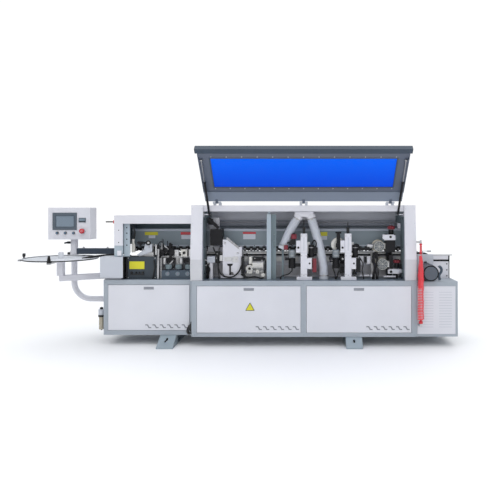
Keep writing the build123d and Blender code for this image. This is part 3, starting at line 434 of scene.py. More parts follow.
class Shape:
    """Collects closed solids, in millimetres at the machine's datum, into one mesh piece."""

    def __init__(self, place=None):
        self.mesh = bmesh.new()
        self.place = place or Matrix.Identity(4)

    def cuboid(self, centre, turn, size):
        matrix = Matrix.Translation(centre) @ turn @ Matrix.Diagonal((*size, 1))
        bmesh.ops.create_cube(self.mesh, size=1, matrix=matrix)
        return self

    def box(self, x, y, z):
        """Box between two values on each axis."""
        low, high = (Vector(corner) for corner in zip(x, y, z))
        return self.cuboid((low + high) / 2, Matrix.Identity(4), high - low)

    def slab(self, start, end, width, height):
        """Bar of rectangular section between two points; its width is level."""
        start, end = Vector(start), Vector(end)
        along = (end - start).normalized()
        side = along.cross(Z_AXIS)
        side = side.normalized() if side.length > 0.01 else X_AXIS
        turn = Matrix((side, along, side.cross(along))).transposed().to_4x4()
        return self.cuboid((start + end) / 2, turn, (width, (end - start).length, height))

    def rod(self, start, end, radius, sides=32):
        """Cylinder between two points."""
        start, end = Vector(start), Vector(end)
        turn = Z_AXIS.rotation_difference(end - start).to_matrix().to_4x4()
        bmesh.ops.create_cone(
            self.mesh, cap_ends=True, segments=sides, radius1=radius, radius2=radius,
            depth=(end - start).length, matrix=Matrix.Translation((start + end) / 2) @ turn)
        return self

    def circle(self, centre, across, up, radius, sides):
        """New vertices around a centre, in the plane of two unit vectors."""
        return [self.mesh.verts.new(centre + across * x + up * y)
                for x, y in on_circle((0, 0), radius, sides)]

    def circles(self, start, axis, profile, sides):
        """A circle of vertices for each (distance along an axis, radius)."""
        across, up, along = Z_AXIS.rotation_difference(Vector(axis)).to_matrix().transposed()
        return [self.circle(Vector(start) + along * reach, across, up, radius, sides)
                for reach, radius in profile]

    def loft(self, rings, closed=False):
        """Joins each ring of vertices to the next, then either caps both ends or closes the loop."""
        following = rings[1:] + rings[:1] if closed else rings[1:]
        for low, high in zip(rings, following):
            for k in range(len(low)):
                m = (k + 1) % len(low)
                self.mesh.faces.new((low[k], low[m], high[m], high[k]))
        if not closed:
            self.mesh.faces.new(list(reversed(rings[0])))
            self.mesh.faces.new(rings[-1])
        return self

    def turned(self, start, profile, sides=32, axis=FORWARD):
        """Solid of revolution: profile is a list of (distance along the axis, radius)."""
        return self.loft(self.circles(start, axis, profile, sides))

    def ring(self, start, outer, inner, length, sides=40, axis=FORWARD):
        """Flat-ended tube along an axis."""
        corners = [(0, outer), (length, outer), (length, inner), (0, inner)]
        return self.loft(self.circles(start, axis, corners, sides), closed=True)

    def outline(self, points, y):
        """Prism along y from an outline of (x, z) points."""
        return self.loft([[self.mesh.verts.new((px, depth, pz)) for px, pz in points] for depth in y])

    def sweep(self, path, radii, sides):
        """Tube along a path, with a radius for each of its points."""
        rings = []
        side = None
        for index, point in enumerate(path):
            ahead = (path[min(index + 1, len(path) - 1)] - path[max(index - 1, 0)]).normalized()
            if side is None:
                side = ahead.orthogonal().normalized()
            side = (side - ahead * side.dot(ahead)).normalized()
            rings.append(self.circle(point, side, ahead.cross(side), radii[index], sides))
        return self.loft(rings)

    def wire(self, points, radius, sides=10):
        """Round cable through a few points, on a smooth curve."""
        path = smooth_path(points)
        return self.sweep(path, [radius] * len(path), sides)

    def studs(self, places, profile, sides=14, axis=FORWARD):
        """The same turned solid at each place."""
        for place in places:
            self.turned(place, profile, sides, axis=axis)
        return self

    def bolts(self, places, radius=5, height=4, axis=FORWARD):
        """Hexagon bolt heads at each place, standing out along an axis."""
        for place in places:
            self.rod(place, Vector(place) + Vector(axis) * height, radius, sides=6)
        return self

    def piece(self, name, material, body="base", edge=0.8, slot=None):
        """Makes the object, in metres in the frame, riding on a body."""
        bmesh.ops.transform(self.mesh, matrix=self.place, verts=self.mesh.verts)
        for vert in self.mesh.verts:
            vert.co = vert.co / 1000 + DATUM
        bmesh.ops.recalc_face_normals(self.mesh, faces=self.mesh.faces)
        data = bpy.data.meshes.new(name)
        self.mesh.to_mesh(data)
        self.mesh.free()
        for polygon in data.polygons:
            polygon.use_smooth = True
        made = bpy.data.objects.new(name, data)
        bpy.context.collection.objects.link(made)
        data.materials.append(MATERIALS[material])
        soften(made, edge / 1000)
        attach(made, body)
        return made


def smooth_path(points, steps=10):
    """Catmull-Rom curve through the points."""
    path = []
    knots = [Vector(p) for p in points]
    knots = [2 * knots[0] - knots[1]] + knots + [2 * knots[-1] - knots[-2]]
    for a, b, c, d in zip(knots, knots[1:], knots[2:], knots[3:]):
        for k in range(steps):
            t = k / steps
            path.append(0.5 * (2 * b + (c - a) * t + (2 * a - 5 * b + 4 * c - d) * t * t
                               + (3 * b - a - 3 * c + d) * t ** 3))
    path.append(knots[-2])
    return path


# ---------------------------------------------------------------- hood, lid and conveyor

def lid_details():
    """Lighter hinge strip, folded edges, window seal with its screws, and rail end caps."""
    x0, x1 = LID_X
    Shape(lid_place()).box((x0 + 1, x1 - 1), (14.5, 139), (-4, -3)).piece("lid_hinge_strip", "lid_strip",
                                                                          "lid", 0.3)
    fold = Shape(lid_place()).box((x0, x1), (139, 146), (0, 9))
    fold.box((x0, x0 + 3), (146, 606), (0, 9)).box((x1 - 3, x1), (146, 606), (0, 9))
    fold.piece("lid_folded_edge", "lid_strip", "lid", 0.5)
    seal = Shape(lid_place()).box((-858, 864), (196, 205), (0, 3)).box((-858, 864), (551, 560), (0, 3))
    seal.box((-858, -846), (205, 551), (0, 3)).box((852, 864), (205, 551), (0, 3))
    seal.piece("window_seal", "slate", "lid", 0.6)
    places = [(-837 + 140 * k, u, 0) for k in range(13) for u in (186, 570)]
    screws = Shape(lid_place()).studs(places, [(0, 6), (2, 6), (3.4, 4), (3.5, 0.5)], 16, axis=Z_AXIS)
    screws.piece("window_screws", "steel", "lid", 0.2)
    caps = Shape(lid_place())
    for x in (x0 - 21, x1 + 17):
        caps.box((x, x + 4), (608, 658), (-52, 0))
    caps.piece("rail_end_caps", "black", "lid", 1.2)
    Shape(lid_place()).box((x0 - 10, x1 + 10), (611, 655), (0, 1.2)).piece("rail_face", "rail", "lid", 0.4)


def hood_lining():
    """Grey inner faces of the hood with ducts and pipes, inner walls of both ends and strut brackets; their
    grey and grey-green are partly real paint and partly painted shade.
    """
    # Lining grey inside the hood and grey-green inside the guard: partly real paint, partly painted shade.
    lining = Shape().box((-982, 988), (540, 546.5), (1022, 1372)).box((-982, 988), (126, 546), (1368, 1372.5))
    lining.piece("hood_lining", "lining_grey_and_shade", edge=0.6)
    Shape().box((-1779, -1098), (540, 546.5), (1022, 1272)).piece("guard_lining", "grey_green_and_shade", edge=0.6)
    ducts = Shape().box((-980, 986), (498, 540), (1164, 1190)).box((-980, 986), (504, 540), (1206, 1220))
    ducts.piece("cable_ducts", "duct", edge=1.5)
    pipes = Shape()
    for z in (1147, 1157):
        pipes.rod((-980, 456, z), (986, 456, z), 3, sides=12)
    pipes.piece("air_pipes", "slate", edge=0.2)
    bolts = Shape()
    fittings = Shape()
    for name, x, inward in (("left", HOOD_WALL_X[0], 1), ("right", HOOD_WALL_X[1], -1)):
        side = sorted((x, x + 1.2 * inward))
        wall = Shape().box(side, (60, 249), (645, 1312)).box(side, (249, 549), (1197, 1312))
        wall.piece("hood_wall_" + name, "grey_green_and_shade", edge=0.3)
        places = [(x + 1.5 * inward, y, z) for y in (120, 220) for z in (700, 960, 1240)]
        bolts.bolts(places, 6, 4, axis=X_AXIS * inward)
        fittings.box(sorted((x, x + 8 * inward)), (64, 96), (1262, 1306))
        fittings.turned((x + 50 * inward, 80, 1286), [(0, 9), (6, 9), (10, 6), (10.5, 1)], 20,
                        axis=X_AXIS * inward)
    bolts.piece("hood_wall_bolts", "black_metal", edge=0.3)
    fittings.piece("strut_brackets", "steel")


def cheek_details():
    """Countersunk screws down both edges of the two leaning columns."""
    for name, x0, x1 in (("left", -1097, -983), ("right", 989, 1099)):
        screws = Shape()
        for z in (690, 800, 1000, 1200, 1340):
            if z > COLUMN_LEAN_Z:
                y = 50 - (HOOD_TOP - z) * 55 / (HOOD_TOP - COLUMN_LEAN_Z)
            elif z < COLUMN_FOOT_Z:
                y = 8 - (z - BENCH_Z) * 13 / (COLUMN_FOOT_Z - BENCH_Z)
            else:
                y = -5
            screws.studs([(x0 + 14, y, z), (x1 - 14, y, z)], [(-2, 4), (1, 4), (2, 2.5)])
        screws.piece("column_screws_" + name, "cover", edge=0.2)


def conveyor_details():
    """Chain pads, silver guide strip, white bottom strip, roller brackets, ledge and blank colour plates."""
    pads = Shape()
    for k in range(43):
        x = -1640 + CHAIN_PITCH * k
        pads.box((x - 29, x + 29), (347, 413), (TRACK_Z - 6, TRACK_Z + 0.6))
    pads.piece("chain_pads", "rubber", edge=1.2)
    pins = Shape()
    for k in range(45):
        x = -1608 + CHAIN_PITCH * k
        pins.rod((x, 346, TRACK_Z - 12), (x, 414, TRACK_Z - 12), 4, sides=12)
    pins.piece("chain_pins", "steel", edge=0.3)
    strips = (
        ("track_guide_strip", "strip", "base", 1.0, (-1540, 1085), (334, 349), (877, 893)),
        # black strip standing in for the shade in the gap under the guide strip: painted shade
        ("track_painted_shade_strip", "black_metal", "base", 0.5, (-1700, 1085), (330, 336), (860, 876)),
        ("bed_foot_strip", "white", "base", 1.0, (-980, 985), (300, 328), (646, 660)),
        ("bed_groove", "lining_grey_and_shade", "base", 0.4, (-1698, 1083), (333.5, 336), (762, 778)),
        ("beam_ledge", "ledge", "pressure_beam", 1.2, BEAM_X, (336, 345), (1112, 1136)),
        ("beam_lower_strip", "ledge", "pressure_beam", 0.8, BEAM_X, (340, 345), (956, 968)),
    )
    for name, material, body, edge, x, y, z in strips:
        Shape().box(x, y, z).piece(name, material, body, edge)
    plates = Shape()
    for k in range(13):
        x = -960 + 160 * k
        plates.box((x, x + 118), (331, 336), (800, 846))
    plates.piece("bed_cover_plates", "strip")
    brackets = Shape()
    for x in ROLLER_X:
        corners = [(-17, 943), (-12, 921), (12, 921), (17, 943), (17, 955), (-17, 955)]
        brackets.outline([(x + side, z) for side, z in corners], (337, 345.8))
    brackets.piece("roller_brackets", "black_metal", "pressure_beam")
    hubs = Shape().studs([(x, 346, 924) for x in ROLLER_X], [(0, 9), (11, 9), (13, 6), (13.2, 1)], 18)
    hubs.piece("roller_hubs", "steel", "pressure_beam", 0.3)
    bolts = Shape().bolts([(-1680 + 98 * k, 340, 962) for k in range(28)])
    bolts.piece("beam_bolts", "black_metal", "pressure_beam", 0.3)
    blank_plates()


def blank_plates():
    """Plain coloured plates on the beam face."""
    places = [
        ("yellow", -1639, -1503, 1070, 1103), ("pale_plate", -1600, -1530, 1038, 1068),
        ("red", -1269, -1155, 1074, 1103), ("pale_plate", -1262, -1160, 1030, 1072),
        ("red", -625, -491, 1082, 1103), ("pale_plate", -622, -494, 1028, 1080),
        ("yellow", 176, 249, 1062, 1103), ("pale_plate", 180, 245, 1022, 1060),
    ]
    for number, (material, x0, x1, z0, z1) in enumerate(places, 1):
        plate = Shape().box((x0, x1), (343.4, 345), (z0, z1))
        plate.piece("blank_plate_" + str(number), material, "pressure_beam", 0.6)


# ---------------------------------------------------------------- hoses

DUST_LEFT = [
    (-66, 150, 1236), (-92, 150, 1196), (-126, 149, 1136), (-155, 149, 1076), (-178, 150, 1020),
    (-191, 150, 984),
]
DUST_RIGHT = [
    (84, 150, 1236), (102, 149, 1178), (130, 149, 1082), (158, 150, 984), (179, 146, 884), (194, 148, 800),
    (203, 150, 745), (203, 150, 687),
]


def nurbs_curve(name, route):
    """One open NURBS spline of order 3 through the route's control points."""
    data = bpy.data.curves.new(name, "CURVE")
    data.dimensions = "3D"
    data.resolution_u = 6
    spline = data.splines.new("NURBS")
    spline.points.add(len(route) - 1)
    for point, place in zip(spline.points, route):
        point.co = (*at(*place), 1)
    spline.order_u = 3
    spline.use_endpoint_u = True
    made = bpy.data.objects.new(name, data)
    bpy.context.collection.objects.link(made)
    return made


def spline_points(route):
    """Points along the route's own NURBS spline, in millimetres at the datum."""
    guide = nurbs_curve("guide", route)
    bpy.context.view_layer.update()
    mesh = bpy.data.meshes.new_from_object(guide)
    points = [(vert.co - DATUM) * 1000 for vert in mesh.vertices]
    bpy.data.meshes.remove(mesh)
    bpy.data.objects.remove(guide)
    return points


def evenly(points, step):
    """The same line, with points a step apart."""
    line = [points[0]]
    for low, high in zip(points, points[1:]):
        while (high - line[-1]).length >= step and (high - low).length > 0:
            line.append(line[-1] + (high - line[-1]).normalized() * step)
    line.append(points[-1])
    return line


def line_length(points):
    """Length in metres of a line of points in millimetres."""
    return sum((high - low).length for low, high in zip(points, points[1:])) / 1000


def corrugated_hose(name, node_name, route):
    """Ribbed dust hose with clamp bands; only one of 6 diameters or more is long enough to be a cord."""
    rib_pitch = 13
    line = evenly(spline_points(route), rib_pitch / 4)
    radii = [HOSE_R - 2.6 + 2.2 * math.cos(index * math.pi / 2) for index in range(len(line))]
    hose = Shape().sweep(line, radii, 40).piece(name, "hose", slot="grey_hose", edge=0.1)
    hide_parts(node_name)
    bands = Shape()
    for start, ahead in ((line[0], line[0] - line[1]), (line[-1], line[-1] - line[-2])):
        bands.ring(start + ahead.normalized() * 2, HOSE_R + 4, HOSE_R - 4, 12, axis=ahead)
        front = start.y - HOSE_R
        bands.box((start.x - 9, start.x + 9), (front - 12, front - 2), (start.z - 6, start.z + 6))
    bands.piece(name + "_clamps", "steel", edge=0.5)


def air_hose_coil():
    """Curly air hose: a short straight rise, open turns, then dense turns that taper up to the blow gun."""
    x, y = AIR_HOSE_XY
    turn_points = 12
    route = [(x, y, 246), (x, y, 256), (x + 3, y - 2, 265)]
    stretches = [(272, 575, 28, 26, 15), (575, 700, 26, 27.5, 9.6), (700, 888, 27.5, 13, 9.6)]
    angle = 0
    for z_low, z_high, r_low, r_high, pitch in stretches:
        steps = round((z_high - z_low) / pitch * turn_points)
        for k in range(steps):
            share = k / steps
            radius = r_low + (r_high - r_low) * share
            angle += 2 * math.pi / turn_points
            wobble = 1.5 * math.sin(angle / 9)
            route.append((x + wobble + radius * math.cos(angle), y + radius * math.sin(angle),
                          z_low + (z_high - z_low) * share))
    route += [(x + 8, y + 3, 893), (x + 3, y, 898), (x, y, 901), (x, y, 905)]
    hose = nurbs_curve("air_hose_coil", route)
    hose.data.bevel_depth = AIR_HOSE_RADIUS / 1000
    hose.data.bevel_resolution = 3
    hose.data.resolution_u = 2
    hose.data.materials.append(MATERIALS["red_hose"])
    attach(hose, "base")
    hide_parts("air_hose")
    round(line_length(spline_points(route)), 3)
    coupling = Shape().turned((x, y, 236), [(0, 14), (3, 20), (22, 20), (28, 12), (34, 9), (34.5, 5)],
                              axis=Z_AXIS)
    coupling.piece("air_hose_coupling", "red", edge=0.4)
    top = Shape().turned((x, y, 992), [(0, 9.5), (4, 14), (12, 14), (16, 10), (17, 3)], axis=Z_AXIS)
    top.turned((x, y, 905), [(0, 9.4), (3, 12), (16, 12), (20, 9.4)], axis=Z_AXIS)
    top.slab((x, y - 13, 985), (x, y - 26, 940), 12, 4)
    top.piece("blow_gun_trigger", "red")


# ---------------------------------------------------------------- units between the columns

def glue_cover_details():
    """Plate, knobs and screws of the glue cover, and the screws of the guard's posts."""
    Shape().box((-1735, -1585), (147.5, 150), (741, 817)).piece("glue_cover_plate", "yellow")
    knobs = Shape()
    for x, radius in ((-1712, 12), (-1668, 9), (-1634, 9), (-1600, 12)):
        knobs.turned((x, 150, 706), [(-2, radius), (10, radius), (15, radius * 0.6), (15.5, 2)], 20)
    knobs.box((-1725, -1588), (142, 150), (686, 694))
    knobs.rod((-1759, 140, 660), (-1759, 140, 850), 7)
    knobs.rod((-1759, 150, 700), (-1759, 132, 700), 13)
    knobs.rod((-1759, 150, 800), (-1759, 132, 800), 13)
    knobs.piece("glue_cover_knobs", "black")
    places = [(x, 150, z) for x in (-1748, -1478) for z in (655, 850)]
    screws = Shape().studs(places, [(-1, 6), (2, 6), (3.5, 4), (3.6, 1)])
    screws.piece("glue_cover_screws", "steel", edge=0.2)
    Shape().box((-1832, -1790), (74, 90), (880, 930)).piece("guard_sensor_block", "white", edge=2.5)
    places = [(-1752, 123.5, z) for z in (1155, 1100, 1040, 981)]
    holes = Shape().studs(places, [(-2, 6.5), (2, 6.5), (2.2, 3)], 18)
    holes.studs([(-1820, 83.2, z) for z in (1130, 1010)], [(-2, 5), (1, 5), (1.2, 3)], 16)
    holes.piece("guard_screw_heads", "black_metal", edge=0.2)


def glue_section_details():
    """Sensor and plug, dark and silver parts, bolts and cables around the glue unit."""
    cable = Shape().wire([(-1774, 140, 1196), (-1745, 150, 1190), (-1706, 170, 1160), (-1690, 176, 1105),
                          (-1698, 180, 1050), (-1706, 182, 1036)], 8)
    cable.piece("sensor_cable", "rubber", edge=0.1)
    plug = Shape().turned((-1706, 182, 990), [(0, 9), (4, 12), (30, 12), (36, 14), (46, 14), (50, 9)],
                          axis=Z_AXIS)
    plug.box((-1722, -1690), (176, 200), (905, 990))
    plug.piece("sensor_plug", "bright", edge=1.0)
    dark = Shape()
    dark.box((-1664, -1578), (150, 176), (994, 1010)).rod((-1655, 163, 1002), (-1600, 163, 1002), 13)
    dark.box((-1640, -1622), (160, 178), (965, 996)).ring((-1551, 172, 1001), 24, 13, 16)
    dark.box((-1508, -1470), (196, 232), (870, 935)).box((-1462, -1450), (150, 176), (905, 980))
    dark.turned((-1428, 180, 900), [(0, 34), (18, 34), (24, 22), (25, 6)])
    dark.turned((-1376, 176, 930), [(0, 26), (14, 26), (20, 12), (21, 4)])
    dark.box((-1410, -1300), (196, 224), (800, 846)).box((-1348, -1330), (180, 200), (846, 1000))
    dark.rod((-1404, 170, 900), (-1404, 170, 1040), 5).rod((-1362, 176, 880), (-1362, 176, 1022), 4)
    dark.turned((-1318, 184, 905), [(0, 30), (12, 30), (16, 20), (17, 6)])
    dark.box((-1165, -1120), (196, 240), (866, 925)).box((-1240, -1120), (210, 229), (800, 840))
    dark.turned((-1196, 178, 900), [(0, 15), (8, 15), (10, 9), (10.5, 3)], 20)
    dark.piece("glue_section_dark_parts", "black_metal", edge=1.2)
    light = Shape().turned((-1551, 172, 1001), [(0, 12.5), (10, 12.5), (12, 8), (12.5, 2)], 24)
    light.box((-1486, -1470), (178, 196), (880, 985)).box((-1440, -1424), (196, 212), (640, 850))
    light.slab((-1400, 168, 985), (-1350, 168, 935), 14, 10)
    light.box((-1290, -1250), (176, 200), (866, 930)).box((-1150, -1120), (184, 196), (866, 935))
    light.rod((-1395, 190, 790), (-1395, 190, 850), 20).rod((-1230, 200, 790), (-1230, 200, 846), 24)
    light.slab((-1300, 190, 830), (-1350, 190, 776), 20, 12)
    light.piece("glue_section_silver_parts", "alu", edge=1.0)
    bolts = Shape().bolts([(-1276, 176, 880), (-1276, 176, 916), (-1264, 200, 858), (-1215, 178, 880),
                           (-1178, 178, 920), (-1590, 172, 930), (-1545, 172, 960), (-1640, 172, 880)], 6, 5)
    bolts.piece("glue_section_bolts", "steel", edge=0.4)
    wires = Shape().wire([(-1452, 168, 940), (-1440, 150, 1000), (-1405, 150, 1010), (-1392, 160, 960)], 5)
    wires.wire([(-1330, 168, 880), (-1300, 150, 830), (-1290, 160, 770), (-1320, 170, 740)], 6)
    wires.wire([(-1160, 196, 860), (-1140, 160, 800), (-1150, 160, 760), (-1180, 170, 735)], 6)
    wires.wire([(-1500, 140, 643), (-1486, 128, 700), (-1476, 128, 760), (-1488, 140, 830)], 6)
    wires.piece("glue_section_cables", "rubber", edge=0.1)


def regulator_details():
    """Ribbed caps, gauge rims with needles, and the seam of the regulator bank."""
    for number, x in enumerate(REGULATOR_X, 1):
        cap = Shape()
        for cap_x, cap_y in on_circle((x, 150), 29.5, 24):
            cap.rod((cap_x, cap_y, 748), (cap_x, cap_y, 783), 2.2, sides=8)
        cap.piece("regulator_cap_ribs_" + str(number), "grey_green_and_shade", edge=0.1)
        rim = Shape().ring((x, 103, 700), 21.5, 17, 4)
        rim.piece("gauge_rim_" + str(number), "grey_green_and_shade", edge=0.6)
        needle = Shape().slab((x - 3, 101.2, 694), (x + 9, 101.2, 709), 1.6, 1.2)
        needle.piece("gauge_needle_" + str(number), "red", edge=0.1)
    seam = Shape().box((-1404, -1110), (109, 110), (664, 667))
    seam.piece("regulator_housing_seam", "black_metal", edge=0.2)


def tape_feed():
    """Black rim of the tape disc, knobs, the curved tape chute and studs of the infeed bar."""
    rim = Shape().ring((*TAPE_CENTRE, 843.4), 350.8, 344, 10.5, 96, axis=Z_AXIS)
    rim.piece("tape_disc_edge", "black", "tape_disc", 0.6)
    hub = Shape().turned((*TAPE_CENTRE, 905), [(0, 22), (6, 22), (10, 12), (10.5, 3)], axis=Z_AXIS)
    hub.piece("tape_disc_hub_cap", "white", "tape_disc", 1.0)
    clips = Shape()
    first = math.radians(22.5)
    for near, far in zip(on_circle(TAPE_CENTRE, 60, 8, first), on_circle(TAPE_CENTRE, 330, 8, first)):
        clips.slab((*near, 850.5), (*far, 850.5), 7, 3)
    clips.piece("tape_disc_ribs", "disc", "tape_disc", 0.6)
    knobs = Shape().turned((-2776, 128, 870), [(0, 11), (4, 15), (24, 15), (30, 9), (31, 2)], axis=Z_AXIS)
    knobs.turned((-2352, -244, 836), [(0, 20), (8, 20), (12, 15), (13, 14)], axis=Z_AXIS)
    knobs.piece("tape_pin_knobs", "black")
    chute = Shape()
    path = smooth_path([(-2196, 120, 846), (-2110, 150, 862), (-2000, 210, 872), (-1905, 262, 876)], 6)
    for low, high in zip(path, path[1:]):
        chute.slab(low, high + (high - low) * 0.05, 8, 22)
    chute.piece("tape_chute", "black", edge=0.6)
    places = [(x, 391, 931) for x in (-2290, -2040)]
    studs = Shape().studs(places, [(0, 14), (4, 14), (8, 8), (14, 8), (16, 3)], 20, axis=Z_AXIS)
    studs.piece("infeed_bar_studs", "steel", edge=0.4)
    Shape().box((-1918, -1898), (358, 424), (876, 927)).piece("infeed_bar_end_cap", "black", edge=2.0)
    Shape().box((-2352, -1918), (360.6, 362), (922, 929)).piece("infeed_bar_lip", "slate", edge=0.3)


def control_box_details():
    """Button faces and rings, stop button with a white ring as painted highlight, meter, seam of the back
    cover and frame of the screen.
    """
    rings = Shape()
    for number, x in enumerate(BUTTON_X, 1):
        rings.ring((x, BOX_FACE_Y, BUTTON_Z), 17, 13.4, 4)
        cap = Shape().turned((x, 436.2, BUTTON_Z), [(0, 11), (1.5, 11), (2.6, 8), (2.8, 1)])
        cap.piece("button_face_" + str(number), "gauge", "push_button_" + str(number), 0.3)
    rings.piece("button_rings", "steel", "control_box")
    stop_x, stop_z = STOP_XZ
    collar = Shape().ring((stop_x, BOX_FACE_Y, stop_z), 30, 14, 5)
    collar.piece("stop_collar", "cover", "control_box")
    dome = Shape().turned((stop_x, 416, stop_z), [(-14, 26.3), (0, 25), (4, 21), (6, 12), (6.4, 2)])
    dome.piece("stop_button_dome", "red", "emergency_stop", 0.6)
    # white ring on the dome: painted highlight
    ring = Shape().ring((stop_x, 410.6, stop_z), 9, 6, 0.8)
    ring.piece("stop_button_painted_highlight", "white", "emergency_stop", 0.1)
    Shape().box((-2360, -2297), (442.6, 444), (1216, 1240)).piece("meter_window", "screen", "control_box",
                                                                  0.3)
    keys = Shape()
    for x in (-2352, -2336, -2320, -2304):
        keys.box((x - 5, x + 5), (442.2, 444), (1204, 1211))
    keys.piece("meter_keys", "black", "control_box", 0.6)
    seam = Shape().box((-2690, -2245), (606, 609), (1018.4, 1021)).box((-2690, -2245), (606, 609),
                                                                       (1353, 1355.6))
    seam.piece("box_cover_seam", "cover", "control_box", 0.3)
    bezel = Shape()
    for x in ((-2609, -2603), (-2416, -2410)):
        bezel.box(x, (442.4, 443.4), (1148, 1272))
    for z in ((1266, 1272), (1148, 1154)):
        bezel.box((-2609, -2410), (442.4, 443.4), z)
    bezel.piece("screen_inner_frame", "slate", "control_box", 0.3)


def end_trim_details():
    """Bolts, dark parts with black blocks as painted shade in the gaps, rings and the slanted parts of the
    end trimmer.
    """
    places = [(x, 150, z) for x, z in ((-770, 840), (-705, 840), (-668, 840), (-780, 1000), (-655, 900))]
    bolts = Shape().studs(places, [(-2, 10), (3, 10), (7, 7), (7.5, 2)], 20)
    bolts.box((-786, -716), (146, 150), (818, 862)).box((-710, -646), (146, 150), (806, 866))
    bolts.piece("end_trim_bolts", "alu")
    # black blocks in the gaps are painted shade; the rest are dark parts
    gap = Shape().outline([(-764, 794), (-700, 794), (-712, 772), (-752, 772)], (147, 150.2))
    gap.box((-738, -722), (144, 150), (684, 772)).box((-874, -834), (150, 186), (800, 918))
    gap.turned((-977, 190, 804), [(0, 40), (20, 40), (28, 30), (29, 8)])
    gap.box((-968, -950), (180, 200), (643, 770))
    gap.piece("end_trim_black_and_gap_shade", "black_metal", edge=1.0)
    ring = Shape().ring((-977, 160, 804), 31, 22, 4)
    ring.box((-836, -806), (150, 168), (822, 878)).box((-868, -850), (146, 152), (840, 900))
    ring.piece("end_trim_silver_parts", "alu")
    behind = Shape()
    for k in range(5):
        x, z = -748 + 27 * k, 1030 - 22 * k
        behind.rod((x, 158, z), (x, 176, z), 15)
    behind.slab((-770, 182, 1050), (-640, 182, 944), 18, 22)
    behind.piece("end_trim_slant_parts", "steel")


def trimmer_cables():
    """Loops of cable in front of both trimmers."""
    loop = Shape()
    loop.wire([(-846, 140, 820), (-842, 128, 740), (-806, 120, 686), (-750, 122, 664), (-690, 124, 672),
               (-640, 128, 720), (-606, 130, 800), (-604, 140, 862)], 8)
    loop.wire([(-900, 140, 960), (-880, 130, 920), (-858, 128, 870), (-850, 140, 812)], 7)
    loop.wire([(-960, 150, 790), (-930, 130, 740), (-944, 128, 690), (-960, 150, 645)], 6)
    loop.wire([(-620, 140, 690), (-560, 118, 662), (-480, 116, 668), (-410, 124, 654), (-385, 140, 700)], 9)
    loop.wire([(-600, 140, 860), (-590, 122, 780), (-600, 122, 710), (-570, 130, 660)], 8)
    loop.wire([(-385, 140, 850), (-374, 122, 800), (-378, 122, 740), (-392, 134, 680)], 7)
    loop.piece("trimmer_cables", "rubber", edge=0.1)


def rough_trim_details():
    """Castings, ribs, dark parts and bolts of the rough trimmer."""
    pale = Shape().rod((-524, 132, 795), (-524, 132, 865), 19).rod((-534, 150, 749), (-534, 116, 749), 36)
    pale.rod((-502, 130, 780), (-396, 130, 780), 42).rod((-400, 140, 685), (-400, 120, 685), 20)
    pale.box((-560, -508), (120, 150), (700, 720)).box((-470, -440), (118, 150), (700, 740))
    pale.piece("rough_trim_castings", "bright", edge=1.6)
    ribs = Shape()
    for k in range(9):
        ribs.ring((-494 + 11 * k, 130, 780), 44, 41, 3, axis=X_AXIS)
    ribs.ring((-534, 116, 749), 30, 22, 4)
    ribs.piece("rough_trim_ribs", "steel", edge=0.5)
    dark = Shape().turned((-534, 116, 749), [(0, 14), (6, 14), (7, 9), (7.5, 2)])
    dark.box((-500, -392), (120, 150), (826, 866)).box((-618, -590), (130, 160), (700, 868))
    dark.box((-470, -404), (116, 132), (840, 852)).rod((-560, 140, 868), (-560, 140, 900), 8)
    dark.piece("rough_trim_dark_parts", "black_metal", edge=1.0)
    bolts = Shape()
    bolts.bolts([(-580, 128, 850), (-480, 118, 850), (-410, 118, 830), (-455, 116, 715), (-545, 118, 706)],
                6, 5)
    bolts.piece("rough_trim_bolts", "steel", edge=0.4)


def fine_trim_unit_details(unit, x):
    """Column screws and seams, knobs, motor fins and bands of one fine trimmer."""
    places = [(x + side, 65, z) for side in (-22, 22) for z in (1075, 880, 700)] + [(x, 65, 690)]
    screws = Shape().studs(places, [(-1, 5), (1.5, 5), (2.5, 3)])
    screws.studs([(x - 52, 80, 672), (x + 60, 80, 672)], [(0, 8), (6, 8), (7, 5)], axis=Z_AXIS)
    screws.piece("fine_trim_screws_" + unit, "steel", edge=0.2)
    seams = Shape()
    seams.box((x - 31.5, x + 31.5), (64.4, 65), (906, 909)).box((x - 4, x + 4), (64.4, 65), (930, 1060))
    seams.piece("fine_trim_column_seams_" + unit, "cover", edge=0.1)
    knob = Shape().turned((x - 55, 68, 960), [(-1, 11), (3, 11), (5, 7), (5.5, 2)])
    knob.piece("fine_trim_head_knob_" + unit, "black", "fine_trim_head_" + unit, 0.4)
    knob = Shape().turned((x + 56, 68, 805), [(-1, 9), (3, 9), (5, 6), (5.5, 2)])
    knob.piece("fine_trim_plate_knob_" + unit, "black", edge=0.4)
    fins = Shape()
    for k in range(7):
        fins.ring((x - 118, 118, 764 + 12 * k), 36, 32, 4, axis=Z_AXIS)
    fins.rod((x - 148, 104, 848), (x - 188, 100, 848), 14)
    fins.rod((x - 118, 118, 853), (x - 118, 118, 861), 16)
    fins.piece("fine_trim_motor_fins_" + unit, "black_metal", edge=0.5)
    bands = Shape()
    for z in (880, 916):
        bands.ring((x - 118, 120, z), 37.4, 35, 5, axis=Z_AXIS)
    bands.ring((x + 73, 122, 955), 29.4, 27, 6, axis=Z_AXIS)
    bands.piece("fine_trim_motor_bands_" + unit, "steel", "fine_trim_head_" + unit, 0.4)
    knurl = Shape()
    for knurl_x, knurl_y in on_circle((x, 100), 14, 20):
        knurl.rod((knurl_x, knurl_y, 1106), (knurl_x, knurl_y, 1158), 1.5, sides=8)
    knurl.piece("fine_trim_knurl_" + unit, "black", "fine_trim_knob_" + unit, 0.1)


